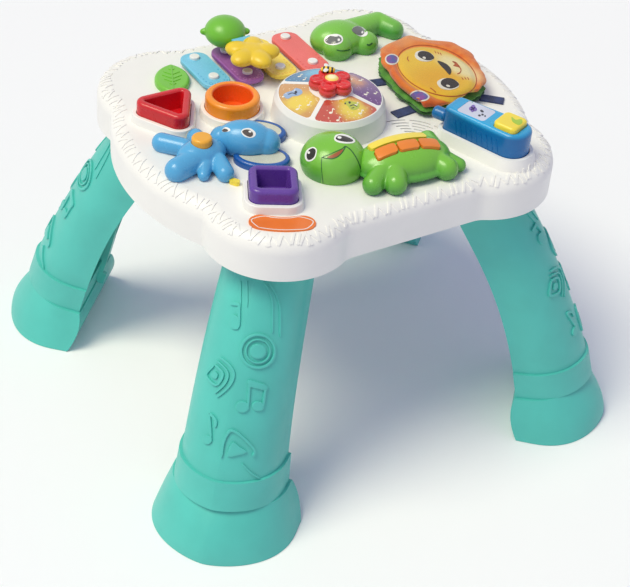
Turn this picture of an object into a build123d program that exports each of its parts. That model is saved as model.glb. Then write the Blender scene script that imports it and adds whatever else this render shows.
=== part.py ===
from build123d import *
import math
import os

# Musical activity table, all sizes in millimetres, +Z up, floor at Z = 0.
# The origin is on the floor under the middle of the table; -Y is the front.

# ---- table top -------------------------------------------------------------
TOP_Z = 337.0            # play surface above the floor
RIM_HEIGHT = 46.0        # lower edge of the rim to the play surface
RIM_ROUND = 16.0         # rounded band between the rim and the play surface
WALL = 3.0               # moulded wall of the table top
LOBE_X = 122.5           # corner lobe centres
LOBE_Y = 120.4
LOBE_R = 78.0
FRONT_EDGE = 186.0       # half depth at the straight front and back edges
SIDE_EDGE = 226.5        # half width at the middle of the bowed sides
SIDE_BOW_R = 217.7
SIDE_NOTCH_R = 9.0       # fillet between a lobe and a bowed side
FRONT_NOTCH_R = 26.0     # fillet between a lobe and a straight edge
FIT = 0.3                # clearance of pieces that drop into each other
RIM_Z = TOP_Z - RIM_HEIGHT

# ---- legs ------------------------------------------------------------------
LEG_TURN = 43.0          # plan angle of the front and back legs from the X axis
LEG_WALL = 3.0
LEG_PLUG = 24.0          # length of the leg's top end inside its socket
SOCKET_WALL = 2.5
FOOT_TOP = 46.0
CUFF_TOP = 77.0
CUFF_PROUD = 3.0
CUFF_TILT = 7.0          # the cuff's edges rise outwards by this angle
# height, distance of the flat back from the middle, depth, half width
FOOT_SECTIONS = [(0.0, 266.0, 93.5, 78.0), (18.5, 257.0, 98.5, 72.5), (FOOT_TOP, 255.5, 75.0, 62.0)]
TUBE_SECTIONS = [(FOOT_TOP, 257.0, 77.0, 56.0), (CUFF_TOP, 249.0, 76.0, 54.0), (135.0, 230.0, 74.5, 51.5),
                 (215.0, 190.5, 74.0, 48.0), (RIM_Z, 143.0, 69.0, 44.0)]
LEG_STRAIGHT = 0.20      # straight part of the leg's side, as a share of its depth
LEG_SQUARE = 0.78        # squareness of the leg's rounded front
SPINE_THICK = 5.0        # stiffening rib on the leg's open side
SPINE_TOP = 143.0
LATCH_PROUD = 11.0       # block at the foot of that rib

# ---- push buttons ----------------------------------------------------------
CUP_RISE = 24.0          # rim of a shape cup above the play surface
CUP_WALL = 8.0
CUP_FLOOR = 4.0          # cup floor above the play surface
CUP_SKIRT = 9.0          # skirt below the play surface
CUP_TRAVEL = 4.0
CUP_GAP = 0.6
COLLAR_RISE = 9.0
COLLAR_WALL = 4.0
WELL_FLOOR = 2.0
KEY_TRAVEL = 3.0
KEY_GAP = 0.5
RED_CENTRE = (-158.5, 51.0)
RED_REACH = 33.5
ORANGE_CENTRE = (-91.5, 36.0)
ORANGE_R = 29.0
PURPLE_CENTRE = (-130.0, -119.0)
PURPLE_SIDE = 49.0
PURPLE_TURN = -27.0

# ---- light dome and flower -------------------------------------------------
DOME_CENTRE = (-1.0, -12.0)
DOME_R = 62.0
DOME_EDGE_Z = TOP_Z + 25.0
DOME_CROWN_Z = TOP_Z + 36.0
DOME_WALL = 2.6
LENS_INNER_R = 23.0
LENS_OUTER_R = 54.5
LENS_RIB = 5.0
LENS_TURN = 38.0         # plan angle of the first white rib
LENS_GAP = 0.15
FLOWER_R = 24.0
PETAL_R = 9.6
PETAL_THICK = 8.0
FLOWER_TURN = 224.0
SHAFT_R = 2.5
SHAFT_GAP = 0.08

# ---- chime bars and striker ------------------------------------------------
BAR_PITCH = 38.4
BAR_WIDTH = 32.5
BAR_THICK = 4.5
BAR_LIFT = 5.0
BAR_BACK_Y = 153.0
FIRST_BAR_X = -81.5
BAR_LENGTHS = [74.0, 80.0, 85.0, 90.0]
PEG_R = 5.6
PEG_HEAD = 3.0
STRIKER_PIVOT = (-40.0, 118.0, TOP_Z + 31.0)
STRIKER_PIN_R = 2.0
POST_X = -23.9

# ---- handset ---------------------------------------------------------------
PHONE_CENTRE = (119.0, -132.5)
PHONE_TURN = -67.0
PHONE_LENGTH = 96.0
PHONE_WIDTH = 42.0
PHONE_SEAT_Z = TOP_Z + 9.0
PHONE_HEIGHT = 29.0
CRADLE_MARGIN = 9.0

# ---- turtle ----------------------------------------------------------------
TURTLE_HEAD = (-48.0, -98.0)
TURTLE_HEAD_R = 34.0
TURTLE_HEAD_TALL = 27.0
TURTLE_HEAD_Z = TOP_Z + 10.0
TURTLE_BODY = (16.0, -130.0)
TURTLE_TURN = -8.0
TURTLE_LENGTH = 104.0
TURTLE_R = 31.0
TURTLE_TALL = 22.0
TURTLE_AXIS_Z = TOP_Z + 13.0

# ---- cloth book ------------------------------------------------------------
BOOK_OUTLINE = [(85, 36), (105, 66), (156, 80), (199, 42), (203, 6), (184, -50), (166, -62), (120, -72),
                (83.2, -63), (78.5, -14)]
BOOK_ROUND = 9.0
STRAP_THICK = 1.6
BOOK_BACK_Z = TOP_Z + 2.1
BOOK_BACK_THICK = 3.4
BOOK_PAGE_THICK = 5.0
BOOK_COVER_THICK = 13.5


def at(x, y, z=0.0, turn=0.0):
    """Place on the table at a plan position, a height and a turn about Z."""
    return Pos(x, y, z) * Rot(0, 0, turn)


def egg(length, radius):
    """Spheroid whose long axis lies along X."""
    return scale(Sphere(1), by=(length / 2, radius, radius))


def capsule(start, end, radius):
    """Round-ended rod between two points."""
    run = Vector(*end) - Vector(*start)
    middle = (Vector(*end) + Vector(*start)) / 2
    plane = Plane(origin=middle, z_dir=run)
    rod = plane * Cylinder(radius, run.length)
    return rod + Pos(*start) * Sphere(radius) + Pos(*end) * Sphere(radius)


def above(z):
    """Half space above a height, as a block larger than the table."""
    return Pos(0, 0, z + 150) * Box(700, 700, 300)


def top_outline(inset=0.0):
    """Plan outline of the table top, drawn in by inset."""
    outline = Sketch()
    for side in (-1, 1):
        flip = 180 if side > 0 else 0
        bow = at(side * (SIDE_EDGE - SIDE_BOW_R), 0, 0, flip) * Circle(SIDE_BOW_R - inset)
        outline += bow & Rectangle(4 * LOBE_X + 4 * LOBE_R, 2 * (FRONT_EDGE - inset))
        for end in (-1, 1):
            outline += at(side * LOBE_X, end * LOBE_Y, 0, flip) * Circle(LOBE_R - inset)
    side_notches = outline.vertices().filter_by(lambda v: abs(v.X) > LOBE_X + LOBE_R / 2)
    outline = fillet(side_notches, SIDE_NOTCH_R + inset)
    front_notches = outline.vertices().filter_by(lambda v: abs(v.X) < LOBE_X and abs(v.Y) > LOBE_Y)
    return fillet(front_notches, FRONT_NOTCH_R + inset)


# ---- shape cups ------------------------------------------------------------
def red_outline():
    corner = 11.0
    triangle = RegularPolygon(RED_REACH + corner, 3, rotation=30)
    return at(*RED_CENTRE) * fillet(triangle.vertices(), corner)


def orange_outline():
    return at(*ORANGE_CENTRE) * Circle(ORANGE_R)


def purple_outline():
    return at(*PURPLE_CENTRE, 0, PURPLE_TURN) * RectangleRounded(PURPLE_SIDE, PURPLE_SIDE, 11)


CUPS = {"cup_red": red_outline, "cup_orange": orange_outline, "cup_purple": purple_outline}
WELL_Z = TOP_Z - CUP_SKIRT - CUP_TRAVEL - CUP_GAP


def shape_cup(outline):
    """A push cup: open bowl above, hollow guide skirt below."""
    shell = extrude(Pos(0, 0, TOP_Z - CUP_SKIRT) * outline(), CUP_SKIRT + CUP_RISE)
    shell = fillet(shell.faces().sort_by(Axis.Z)[-1].edges(), 4.0)
    bowl_depth = CUP_RISE - CUP_FLOOR
    mouth = Pos(0, 0, TOP_Z + CUP_RISE) * offset(outline(), -CUP_WALL)
    shell -= extrude(mouth, -bowl_depth, taper=8)
    shell = fillet(shell.faces().sort_by(Axis.Z)[-1].inner_wires().edges(), 2.6)
    skirt_hollow = Pos(0, 0, TOP_Z - CUP_SKIRT) * offset(outline(), -2.2)
    return shell - extrude(skirt_hollow, CUP_SKIRT + CUP_FLOOR - 2.5)


def cup_collar(outline):
    """Raised white collar and the closed pocket that a cup slides in."""
    foot = Pos(0, 0, TOP_Z - WALL / 2) * offset(outline(), CUP_GAP + COLLAR_WALL + 1.5)
    collar = extrude(foot, COLLAR_RISE + WALL / 2, taper=9)
    collar = fillet(collar.faces().sort_by(Axis.Z)[-1].edges(), 1.2)
    tube = Pos(0, 0, WELL_Z - WELL_FLOOR) * offset(outline(), CUP_GAP + 2.0)
    return collar + extrude(tube, TOP_Z - WALL / 2 - WELL_Z + WELL_FLOOR)


def cup_well(outline):
    return extrude(Pos(0, 0, WELL_Z) * offset(outline(), CUP_GAP), TOP_Z + COLLAR_RISE + 5 - WELL_Z)


def return_pad(centre):
    """Rubber dome that lifts a cup again."""
    height = CUP_TRAVEL + CUP_GAP + CUP_SKIRT + CUP_FLOOR - 2.5 - FIT
    pad = Cylinder(9, height, align=(Align.CENTER, Align.CENTER, Align.MIN))
    pad = fillet(pad.edges().sort_by(Axis.Z)[-1], 5)
    return at(*centre, WELL_Z) * pad


# ---- speaker grille --------------------------------------------------------
GRILLE_CENTRE = (50.0, -94.0)
GRILLE_RINGS = [(48.0, 88, (24, 26, 22)), (42.2, 84, (24, 30)), (36.5, 80, (20, 22, 20)), (31.0, 76, (20, 34)),
                (25.5, 70, (24, 28)), (20.0, 60, (26, 26))]
SLOT_WIDTH = 1.7
SPEAKER_CENTRE = (72.0, -73.0)
SPEAKER_R = 27.0


def grille_slots():
    """Broken concentric slots through the play surface over the speaker."""
    slots = []
    for radius, first, spans in GRILLE_RINGS:
        angle = first
        for span in spans:
            arc = CenterArc((0, 0), radius, angle - span, span)
            slots.append(SlotArc(arc, SLOT_WIDTH))
            angle -= span + 7
    through = [extrude(at(*GRILLE_CENTRE, TOP_Z - 2 * WALL) * slot, 3 * WALL) for slot in slots]
    return through


# ---- screw bosses ----------------------------------------------------------
BOSS_PLACES = [(x, y) for x in (-178.0, 178.0) for y in (-60.0, 60.0)] + \
              [(x, y) for x in (-50.0, 50.0) for y in (-168.0, 168.0)]
BOSS_R = 4.5
SCREW_R = 1.5
TRAY_Z = RIM_Z + 4.0
TRAY_THICK = 3.0


def table_top():
    """White moulded top with lobed rim, collars, wells, grille and bosses."""
    shell = extrude(Pos(0, 0, RIM_Z) * top_outline(), RIM_HEIGHT)
    shell = fillet(shell.faces().sort_by(Axis.Z)[-1].edges(), RIM_ROUND)
    hollow = extrude(Pos(0, 0, RIM_Z) * top_outline(WALL), RIM_HEIGHT - WALL)
    hollow = fillet(hollow.faces().sort_by(Axis.Z)[-1].edges(), RIM_ROUND - WALL)
    shell -= hollow
    for outline in CUPS.values():
        shell += cup_collar(outline)
    boss_length = TOP_Z - WALL / 2 - TRAY_Z - TRAY_THICK - FIT
    for x, y in BOSS_PLACES:
        boss = Cylinder(BOSS_R, boss_length, align=(Align.CENTER, Align.CENTER, Align.MAX))
        shell += Pos(x, y, TOP_Z - WALL / 2) * boss
    cradle = extrude(Pos(0, 0, TOP_Z - WALL / 2) * phone_outline(CRADLE_MARGIN), PHONE_SEAT_Z + 3 - TOP_Z + WALL / 2,
                     taper=20)
    shell += cradle
    for outline in CUPS.values():
        shell -= cup_well(outline)
    shell -= extrude(Pos(0, 0, PHONE_SEAT_Z) * phone_outline(FIT), 10)
    for x, y in BOSS_PLACES:
        shell -= Pos(x, y, TRAY_Z) * Cylinder(SCREW_R, 2 * (TRAY_THICK + 14))
    for slot in grille_slots():
        shell -= slot
    return shell


# ---- legs ------------------------------------------------------------------
def leg_section(height, back, depth, half_width, grow=0.0):
    """Rounded D outline: flat back towards the middle of the table."""
    reach = depth + grow
    side = half_width + grow
    straight = LEG_STRAIGHT * depth
    shoulder = straight + LEG_SQUARE * (reach - straight)
    nose = (1 - LEG_SQUARE) * side
    flat = Polyline((straight, side), (0, side), (0, -side), (straight, -side))
    right_bow = Bezier((straight, -side), (shoulder, -side), (reach, -nose), (reach, 0))
    left_bow = Bezier((reach, 0), (reach, nose), (shoulder, side), (straight, side))
    face = make_face([flat, right_bow, left_bow])
    tilt = CUFF_TILT if height in (FOOT_TOP, CUFF_TOP) else 0.0
    return Pos(back, 0, height) * Rot(0, -tilt, 0) * face


def leg_loft(sections, grow=0.0):
    return loft([leg_section(*section, grow) for section in sections])


def leg():
    """One splayed half-tube leg with cuff and flared foot, outward along +X."""
    foot = leg_loft(FOOT_SECTIONS)
    cuff = leg_loft(TUBE_SECTIONS[:2], CUFF_PROUD)
    tube = leg_loft(TUBE_SECTIONS)
    plug = extrude(leg_section(*TUBE_SECTIONS[-1], -FIT), LEG_PLUG)
    body = foot + cuff + tube + plug
    channel_floor = CUFF_TOP + 6
    inner = []
    for height, back, depth, half_width in TUBE_SECTIONS:
        inner.append(leg_section(height, back - 6, depth + 6, half_width, -LEG_WALL))
    channel = loft(inner) & above(channel_floor)
    top_back, top_depth, top_half = TUBE_SECTIONS[-1][1:]
    neck = leg_section(RIM_Z, top_back - 6, top_depth + 6, top_half, -LEG_WALL - FIT)
    channel += extrude(neck, LEG_PLUG + 5)
    return body - channel


def leg_cavity():
    """Closed hollow inside the foot and the cuff."""
    lower = []
    for height, back, depth, half_width in FOOT_SECTIONS:
        level = max(height, LEG_WALL)
        lower.append(leg_section(level, back + LEG_WALL, depth - LEG_WALL, half_width, -LEG_WALL))
    upper = []
    for height, back, depth, half_width in TUBE_SECTIONS[:2]:
        level = min(height, CUFF_TOP - LEG_WALL)
        upper.append(leg_section(level, back + LEG_WALL, depth - LEG_WALL, half_width, -LEG_WALL))
    return loft(lower) + loft(upper)


def leg_spine():
    """Stiffening rib with a latch block on the open side of a leg."""
    rib_points = [(FOOT_TOP + 4, 252.5), (FOOT_TOP + 4, 257.0 - LATCH_PROUD), (FOOT_TOP + 18, 253.0 - LATCH_PROUD),
                  (FOOT_TOP + 20, 246.5), (CUFF_TOP, 243.0), (SPINE_TOP, 227.0), (SPINE_TOP, 240.0),
                  (CUFF_TOP + 4, 262.0)]
    outline = [(back, height) for height, back in rib_points]
    face = make_face(Polyline(*outline, close=True))
    return Pos(0, SPINE_THICK / 2, 0) * extrude(Plane.XZ * face, SPINE_THICK)


def whole_leg():
    body = leg() - leg_cavity()
    front = leg_spine()
    return body + front


LEGS = {"leg_front_left": 180 + LEG_TURN, "leg_front_right": -LEG_TURN, "leg_back_left": 180 - LEG_TURN,
        "leg_back_right": LEG_TURN}


# ---- underside -------------------------------------------------------------
BATTERY_CENTRE = (0.0, 60.0)
BATTERY_ROOM = (66.0, 54.0, 18.5)
BATTERY_R = 7.2
BATTERY_LENGTH = 50.0


def base_tray():
    """Underside cover with leg sockets and the battery box."""
    tray = extrude(Pos(0, 0, TRAY_Z) * top_outline(WALL + FIT), TRAY_THICK)
    socket_height = RIM_Z + LEG_PLUG - TRAY_Z + FIT
    back, depth, half_width = TUBE_SECTIONS[-1][1:]
    for angle in LEGS.values():
        wall = extrude(leg_section(TRAY_Z, back, depth, half_width, SOCKET_WALL), socket_height + SOCKET_WALL)
        tray += Rot(0, 0, angle) * wall
    for angle in LEGS.values():
        room = extrude(leg_section(TRAY_Z - 5, back, depth, half_width, 0), socket_height + 5)
        tray -= Rot(0, 0, angle) * room
    length, width, height = BATTERY_ROOM
    box_place = Pos(*BATTERY_CENTRE, TRAY_Z)
    tray += box_place * Box(length + 4, width + 4, height + 2, align=(Align.CENTER, Align.CENTER, Align.MIN))
    tray -= box_place * Box(length, width, 2 * height, align=(Align.CENTER, Align.CENTER, Align.CENTER))
    for x, y in BOSS_PLACES:
        tray -= Pos(x, y, TRAY_Z) * Cylinder(SCREW_R + 0.4, 4 * TRAY_THICK)
    return tray


def battery_door():
    """Lift-out cover of the battery box, flush with the tray."""
    length, width, _ = BATTERY_ROOM
    door = Box(length - 2 * FIT, width - 2 * FIT, TRAY_THICK, align=(Align.CENTER, Align.CENTER, Align.MIN))
    door = fillet(door.edges().filter_by(Axis.Z), 3)
    grip = Pos(0, -width / 2 + 8, 0) * Box(16, 3, 3, align=(Align.CENTER, Align.CENTER, Align.CENTER))
    return Pos(*BATTERY_CENTRE, TRAY_Z) * (door - grip)


def batteries():
    cells = []
    for index in (-1, 0, 1):
        cell = Rot(0, 90, 0) * Cylinder(BATTERY_R, BATTERY_LENGTH)
        place = Pos(BATTERY_CENTRE[0], BATTERY_CENTRE[1] + index * 15.5, TRAY_Z + BATTERY_ROOM[2] - BATTERY_R - FIT)
        cells.append(place * cell)
    return Compound(cells)


def tray_screws():
    screws = []
    for x, y in BOSS_PLACES:
        head = Pos(x, y, TRAY_Z) * Cylinder(3.2, 2, align=(Align.CENTER, Align.CENTER, Align.MAX))
        shank = Pos(x, y, TRAY_Z - 1) * Cylinder(SCREW_R - 0.02, TRAY_THICK + 14, align=(Align.CENTER, Align.CENTER, Align.MIN))
        screws.append(head + shank)
    return Compound(screws)


def speaker_driver():
    """Paper-cone speaker, magnet down, glued under the grille."""
    z = TOP_Z - WALL
    profile = [(0, z - 4), (8, z - 4), (SPEAKER_R - 5, z - 1.5), (SPEAKER_R - 4, z), (SPEAKER_R, z), (SPEAKER_R, z - 2.5),
               (14, z - 10), (14, z - 17), (0, z - 17)]
    face = make_face(Plane.XZ * Polyline(*profile, close=True))
    return Pos(*SPEAKER_CENTRE, 0) * revolve(face, Axis.Z)


def circuit_board():
    """Main board on the tray, with its sound chip and connectors."""
    board = Pos(-20, -30, TRAY_Z + TRAY_THICK) * Box(90, 60, 4, align=(Align.CENTER, Align.CENTER, Align.MIN))
    chips = Sketch()
    for x, y, w, d in ((-40, -30, 22, 14), (-8, -38, 12, 12), (5, -18, 18, 8)):
        chips += Pos(x, y, TRAY_Z + TRAY_THICK + 4) * Rectangle(w, d)
    return board + extrude(chips, 2.5)


# ---- light dome ------------------------------------------------------------
def dome_profile(inset):
    """Half section of the dome, from the axis outwards."""
    top = Polyline((0, DOME_CROWN_Z - inset), (LENS_INNER_R - 4, DOME_CROWN_Z - inset),
                   (LENS_OUTER_R + 1, DOME_EDGE_Z + 2 - inset), (DOME_R - 3 - inset, DOME_EDGE_Z - 4 - inset / 2),
                   (DOME_R - inset, TOP_Z), (0, TOP_Z), close=True)
    return make_face(Plane.XZ * top)


def dome_solid(inset):
    return Pos(*DOME_CENTRE, 0) * revolve(dome_profile(inset), Axis.Z)


def lens_sector(index, shrink):
    """Plan sector of one coloured window."""
    centre_angle = LENS_TURN + 45 + 90 * index
    ring = Circle(LENS_OUTER_R - shrink) - Circle(LENS_INNER_R + shrink)
    half = 100.0
    wedge = Polyline((0, 0), (half, -half), (half, half), close=True)
    wedge_face = Pos((LENS_RIB / 2 + shrink) * math.sqrt(2), 0) * make_face(wedge)
    sector = ring & wedge_face
    sector = fillet(sector.vertices(), 4.0 - shrink)
    return at(*DOME_CENTRE, 0, centre_angle) * sector


def dome_ring():
    shell = dome_solid(0)
    shell -= dome_solid(DOME_WALL)
    for index in range(4):
        shell -= extrude(Pos(0, 0, TOP_Z + 5) * lens_sector(index, 0.0), 60)
    shell -= Pos(*DOME_CENTRE, DOME_CROWN_Z) * Cylinder(SHAFT_R + SHAFT_GAP, 20)
    return shell


def lens(index):
    """Translucent window that follows the dome's slope, flush in its frame."""
    slab = dome_solid(0.3) - dome_solid(2.3)
    return slab & extrude(Pos(0, 0, TOP_Z + 5) * lens_sector(index, LENS_GAP), 60)


def lamp_board():
    """Round board with four lamps under the windows."""
    board = Pos(*DOME_CENTRE, TOP_Z) * Cylinder(46, 3, align=(Align.CENTER, Align.CENTER, Align.MIN))
    for index in range(4):
        angle = math.radians(LENS_TURN + 45 + 90 * index)
        x = DOME_CENTRE[0] + 34 * math.cos(angle)
        y = DOME_CENTRE[1] + 34 * math.sin(angle)
        board += Pos(x, y, TOP_Z + 3) * Cylinder(2.5, 6, align=(Align.CENTER, Align.CENTER, Align.MIN))
    return board


FLOWER_Z = DOME_CROWN_Z + 0.6


def flower_petals():
    """Five round petals on one disc, with the shaft bore."""
    petals = Circle(11)
    for index in range(5):
        angle = math.radians(FLOWER_TURN + 72 * index)
        petals += Pos((FLOWER_R - PETAL_R) * math.cos(angle), (FLOWER_R - PETAL_R) * math.sin(angle)) * Circle(PETAL_R)
    flower = extrude(petals, PETAL_THICK)
    flower = fillet(flower.faces().sort_by(Axis.Z)[-1].edges(), 3.0)
    flower -= Pos(0, 0, PETAL_THICK) * Cylinder(8.0, 3.0)
    flower -= Cylinder(SHAFT_R, 40)
    return Pos(*DOME_CENTRE, FLOWER_Z) * flower


def flower_centre():
    button = Cylinder(7.8, 4.5, align=(Align.CENTER, Align.CENTER, Align.MIN))
    button = fillet(button.edges().sort_by(Axis.Z)[-1], 2.5)
    return Pos(*DOME_CENTRE, FLOWER_Z + PETAL_THICK - 1.5) * button


def flower_shaft():
    """Steel shaft with a retaining collar inside the dome."""
    collar = Pos(0, 0, DOME_CROWN_Z - DOME_WALL - 3.2) * Cylinder(4.5, 2.4, align=(Align.CENTER, Align.CENTER, Align.MIN))
    length = FLOWER_Z + PETAL_THICK - 1.5 - (DOME_CROWN_Z - 12)
    shaft = Pos(0, 0, DOME_CROWN_Z - 12) * Cylinder(SHAFT_R, length, align=(Align.CENTER, Align.CENTER, Align.MIN))
    return Pos(*DOME_CENTRE, 0) * (shaft + collar)


def bee():
    """Small bee that sits on a petal."""
    seat = FLOWER_Z + PETAL_THICK
    body = Pos(0, 0, seat + 3.2) * egg(14, 4.2)
    wings = Sketch()
    for side in (-1, 1):
        wings += Pos(-1, side * 5.5) * Ellipse(3, 4.5)
    fan = extrude(Pos(0, 0, seat + 3.6) * wings, 1.4)
    whole = (body + fan) & above(seat)
    angle = math.radians(FLOWER_TURN + 72 * 3)
    reach = FLOWER_R - PETAL_R
    return Pos(DOME_CENTRE[0] + reach * math.cos(angle), DOME_CENTRE[1] + reach * math.sin(angle)) * Rot(0, 0, -35) * whole


# ---- chime bars ------------------------------------------------------------
BAR_NAMES = ["chime_bar_blue", "chime_bar_purple", "chime_bar_yellow", "chime_bar_red"]
BAR_Z = TOP_Z + BAR_LIFT


def peg_places(index):
    x = FIRST_BAR_X + index * BAR_PITCH
    back_peg = BAR_BACK_Y - 12.0
    front_peg = BAR_BACK_Y - BAR_LENGTHS[index] + 17.5
    return [(x, back_peg), (x, front_peg)]


def chime_bar(index):
    length = BAR_LENGTHS[index]
    x, _ = peg_places(index)[0]
    outline = Pos(x, BAR_BACK_Y - length / 2) * RectangleRounded(BAR_WIDTH, length, 13)
    bar = extrude(Pos(0, 0, BAR_Z) * outline, BAR_THICK)
    bar = fillet(bar.faces().sort_by(Axis.Z)[-1].edges(), 1.2)
    for px, py in peg_places(index):
        bar -= Pos(px, py, BAR_Z) * Cylinder(PEG_R - 2.4, 20)
    return bar


def chime_pegs():
    """White pegs: shoulder under the bar, shank through it, head on top."""
    pegs = []
    for index in range(len(BAR_NAMES)):
        for x, y in peg_places(index):
            shoulder = Cylinder(PEG_R + 1.5, BAR_LIFT, align=(Align.CENTER, Align.CENTER, Align.MIN))
            shank = Cylinder(PEG_R - 2.6, BAR_LIFT + BAR_THICK + 1, align=(Align.CENTER, Align.CENTER, Align.MIN))
            head = Pos(0, 0, BAR_LIFT + BAR_THICK) * Cylinder(PEG_R, PEG_HEAD, align=(Align.CENTER, Align.CENTER, Align.MIN))
            head = fillet(head.edges().sort_by(Axis.Z)[-1], 1.2)
            pegs.append(Pos(x, y, TOP_Z) * (shoulder + shank + head))
    return Compound(pegs)


# ---- striker ---------------------------------------------------------------
def striker_post():
    """Post between two bars with the pin that the striker rocks on."""
    px, py, pz = STRIKER_PIVOT
    post = Pos(POST_X, py, TOP_Z) * Box(4.6, 12, pz - TOP_Z, align=(Align.CENTER, Align.CENTER, Align.MIN))
    post += Pos(POST_X, py, pz) * Rot(0, 90, 0) * Cylinder(6, 4.6)
    pin_length = POST_X - px + 10
    pin = Pos(POST_X - pin_length, py, pz) * Rot(0, 90, 0) * Cylinder(STRIKER_PIN_R, pin_length, align=(Align.CENTER, Align.CENTER, Align.MIN))
    return post + pin


def striker_arm(grow=0.0):
    """Flat bar through the hub that the star and the ball are pushed on to."""
    px, py, pz = STRIKER_PIVOT
    return Pos(px + 1, py + 2, pz) * Box(9 + 2 * grow, 34 + 2 * grow, 6 + 2 * grow)


def striker_lever():
    """Hub and arms that join the star to the ball."""
    px, py, pz = STRIKER_PIVOT
    hub_right = POST_X - 2.3 - 0.4
    hub_length = hub_right - px + 8
    hub_middle = hub_right - hub_length / 2
    hub = Pos(hub_middle, py, pz) * Rot(0, 90, 0) * Cylinder(5.5, hub_length)
    hub += striker_arm()
    return hub - Pos(px, py, pz) * Rot(0, 90, 0) * Cylinder(STRIKER_PIN_R + 0.06, 80)


def striker_room():
    """Space that the star and the ball leave round the pivot and its post."""
    px, py, pz = STRIKER_PIVOT
    room = Pos(px, py, pz) * Rot(0, 90, 0) * Cylinder(7, 60)
    return room + Pos(POST_X, py, pz - 20) * Box(7, 17, 40)


STAR_CENTRE = (STRIKER_PIVOT[0] + 1.0, STRIKER_PIVOT[1] - 27.0)
STAR_R = 33.0
STAR_THICK = 17.0


def striker_star():
    """Puffy five-pointed star with rounded tips."""
    points = []
    for index in range(10):
        angle = math.radians(36 * index + 68)
        reach = STAR_R + 5 if index % 2 == 0 else 0.74 * STAR_R
        points.append((reach * math.cos(angle), reach * math.sin(angle)))
    outline = make_face(Polyline(*points, close=True))
    tips = outline.vertices().sort_by(lambda v: math.hypot(v.X, v.Y))
    outline = fillet(tips[5:], 8.0)
    valleys = outline.vertices().sort_by(lambda v: math.hypot(v.X, v.Y))[:5]
    outline = fillet(valleys, 6.0)
    star = extrude(outline, STAR_THICK)
    star = fillet(star.faces().sort_by(Axis.Z)[-1].edges(), 5.5)
    star = fillet(star.faces().sort_by(Axis.Z)[0].edges(), 3.0)
    star = Pos(*STAR_CENTRE, STRIKER_PIVOT[2] - STAR_THICK / 2) * star
    return star - striker_arm(0.05) - striker_room()


BALL_CENTRE = (STRIKER_PIVOT[0] - 4.0, STRIKER_PIVOT[1] + 24.0)
BALL_R = 23.0
BALL_LIFT = 2.8          # ball's middle above the pin, so that it clears the pegs


def striker_ball():
    """Flattened hollow ball with a bead round its middle."""
    shell = Rot(0, 90, 0) * egg(34, BALL_R)
    bead = Torus(BALL_R - 0.6, 1.6)
    shell += bead
    shell = Pos(*BALL_CENTRE, STRIKER_PIVOT[2] + BALL_LIFT) * shell
    return shell - striker_arm(0.05) - striker_room()


# ---- handset ---------------------------------------------------------------
def phone_outline(grow=0.0):
    """Plan outline: round heel, slightly narrower top end."""
    half = PHONE_LENGTH / 2
    side = PHONE_WIDTH / 2
    outline = make_face(Polyline((-half, -side + 5), (half, -side), (half, side), (-half, side - 5), close=True))
    far = outline.vertices().filter_by(lambda v: v.X > 0)
    outline = fillet(far, side - 2)
    near = outline.vertices().filter_by(lambda v: v.X < -half + 1)
    outline = fillet(near, 7)
    if grow:
        outline = offset(outline, grow)
    return at(*PHONE_CENTRE, 0, PHONE_TURN) * outline


PHONE_TOP_Z = PHONE_SEAT_Z + FIT + PHONE_HEIGHT
SCREEN_AT = -17.0
DIAL_KEY_AT = 24.0


def dial_key_outline(grow=0.0):
    return at(*PHONE_CENTRE, 0, PHONE_TURN) * Pos(DIAL_KEY_AT, 0) * RectangleRounded(27 + 2 * grow, 29 + 2 * grow, 6)


def screen_outline(grow=0.0):
    return at(*PHONE_CENTRE, 0, PHONE_TURN) * Pos(SCREEN_AT, 0) * RectangleRounded(33 + 2 * grow, 27 + 2 * grow, 4)


def phone_body():
    """Chunky handset with a stub antenna, key pocket and screen recess."""
    body = extrude(Pos(0, 0, PHONE_SEAT_Z + FIT) * phone_outline(-0.5), PHONE_HEIGHT)
    body = fillet(body.faces().sort_by(Axis.Z)[-1].edges(), 4.5)
    body = chamfer(body.faces().sort_by(Axis.Z)[0].edges(), 1.5)
    antenna = Rot(0, 90, 0) * Cylinder(7, 17)
    antenna = fillet(antenna.edges(), 4)
    body += at(*PHONE_CENTRE, 0, PHONE_TURN) * Pos(-PHONE_LENGTH / 2 - 6, -8, PHONE_SEAT_Z + 14) * antenna
    pocket_floor = PHONE_TOP_Z - 8 - KEY_TRAVEL
    body -= extrude(Pos(0, 0, pocket_floor) * dial_key_outline(KEY_GAP), 30)
    return body - extrude(Pos(0, 0, PHONE_TOP_Z - 1.2) * screen_outline(0.1), 5)


def phone_key():
    key = extrude(Pos(0, 0, PHONE_TOP_Z - 8 + FIT) * dial_key_outline(), 8 + 6 - FIT)
    return fillet(key.faces().sort_by(Axis.Z)[-1].edges(), 3)


def phone_screen():
    return extrude(Pos(0, 0, PHONE_TOP_Z - 1.2) * screen_outline(), 0.9)


# ---- turtle ----------------------------------------------------------------
def turtle_frame():
    return at(*TURTLE_BODY, 0, TURTLE_TURN)


def head_ball(grow=0.0, lift=0.0):
    """Flattened ball of the head, grown all round by a clearance."""
    ball = scale(Sphere(1), by=(TURTLE_HEAD_R + grow, TURTLE_HEAD_R + grow, TURTLE_HEAD_TALL + grow))
    return Pos(*TURTLE_HEAD, TURTLE_HEAD_Z + lift) * ball


def shell_hull(grow=0.0):
    """Long flattened ball that the casing and its keys follow."""
    hull = scale(Sphere(1), by=(TURTLE_LENGTH / 2 + grow, TURTLE_R + grow, TURTLE_TALL + grow))
    return turtle_frame() * Pos(0, 0, TURTLE_AXIS_Z) * hull


def turtle_head():
    """Round head, cut flat where it sits."""
    return head_ball() & above(TOP_Z)


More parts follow.
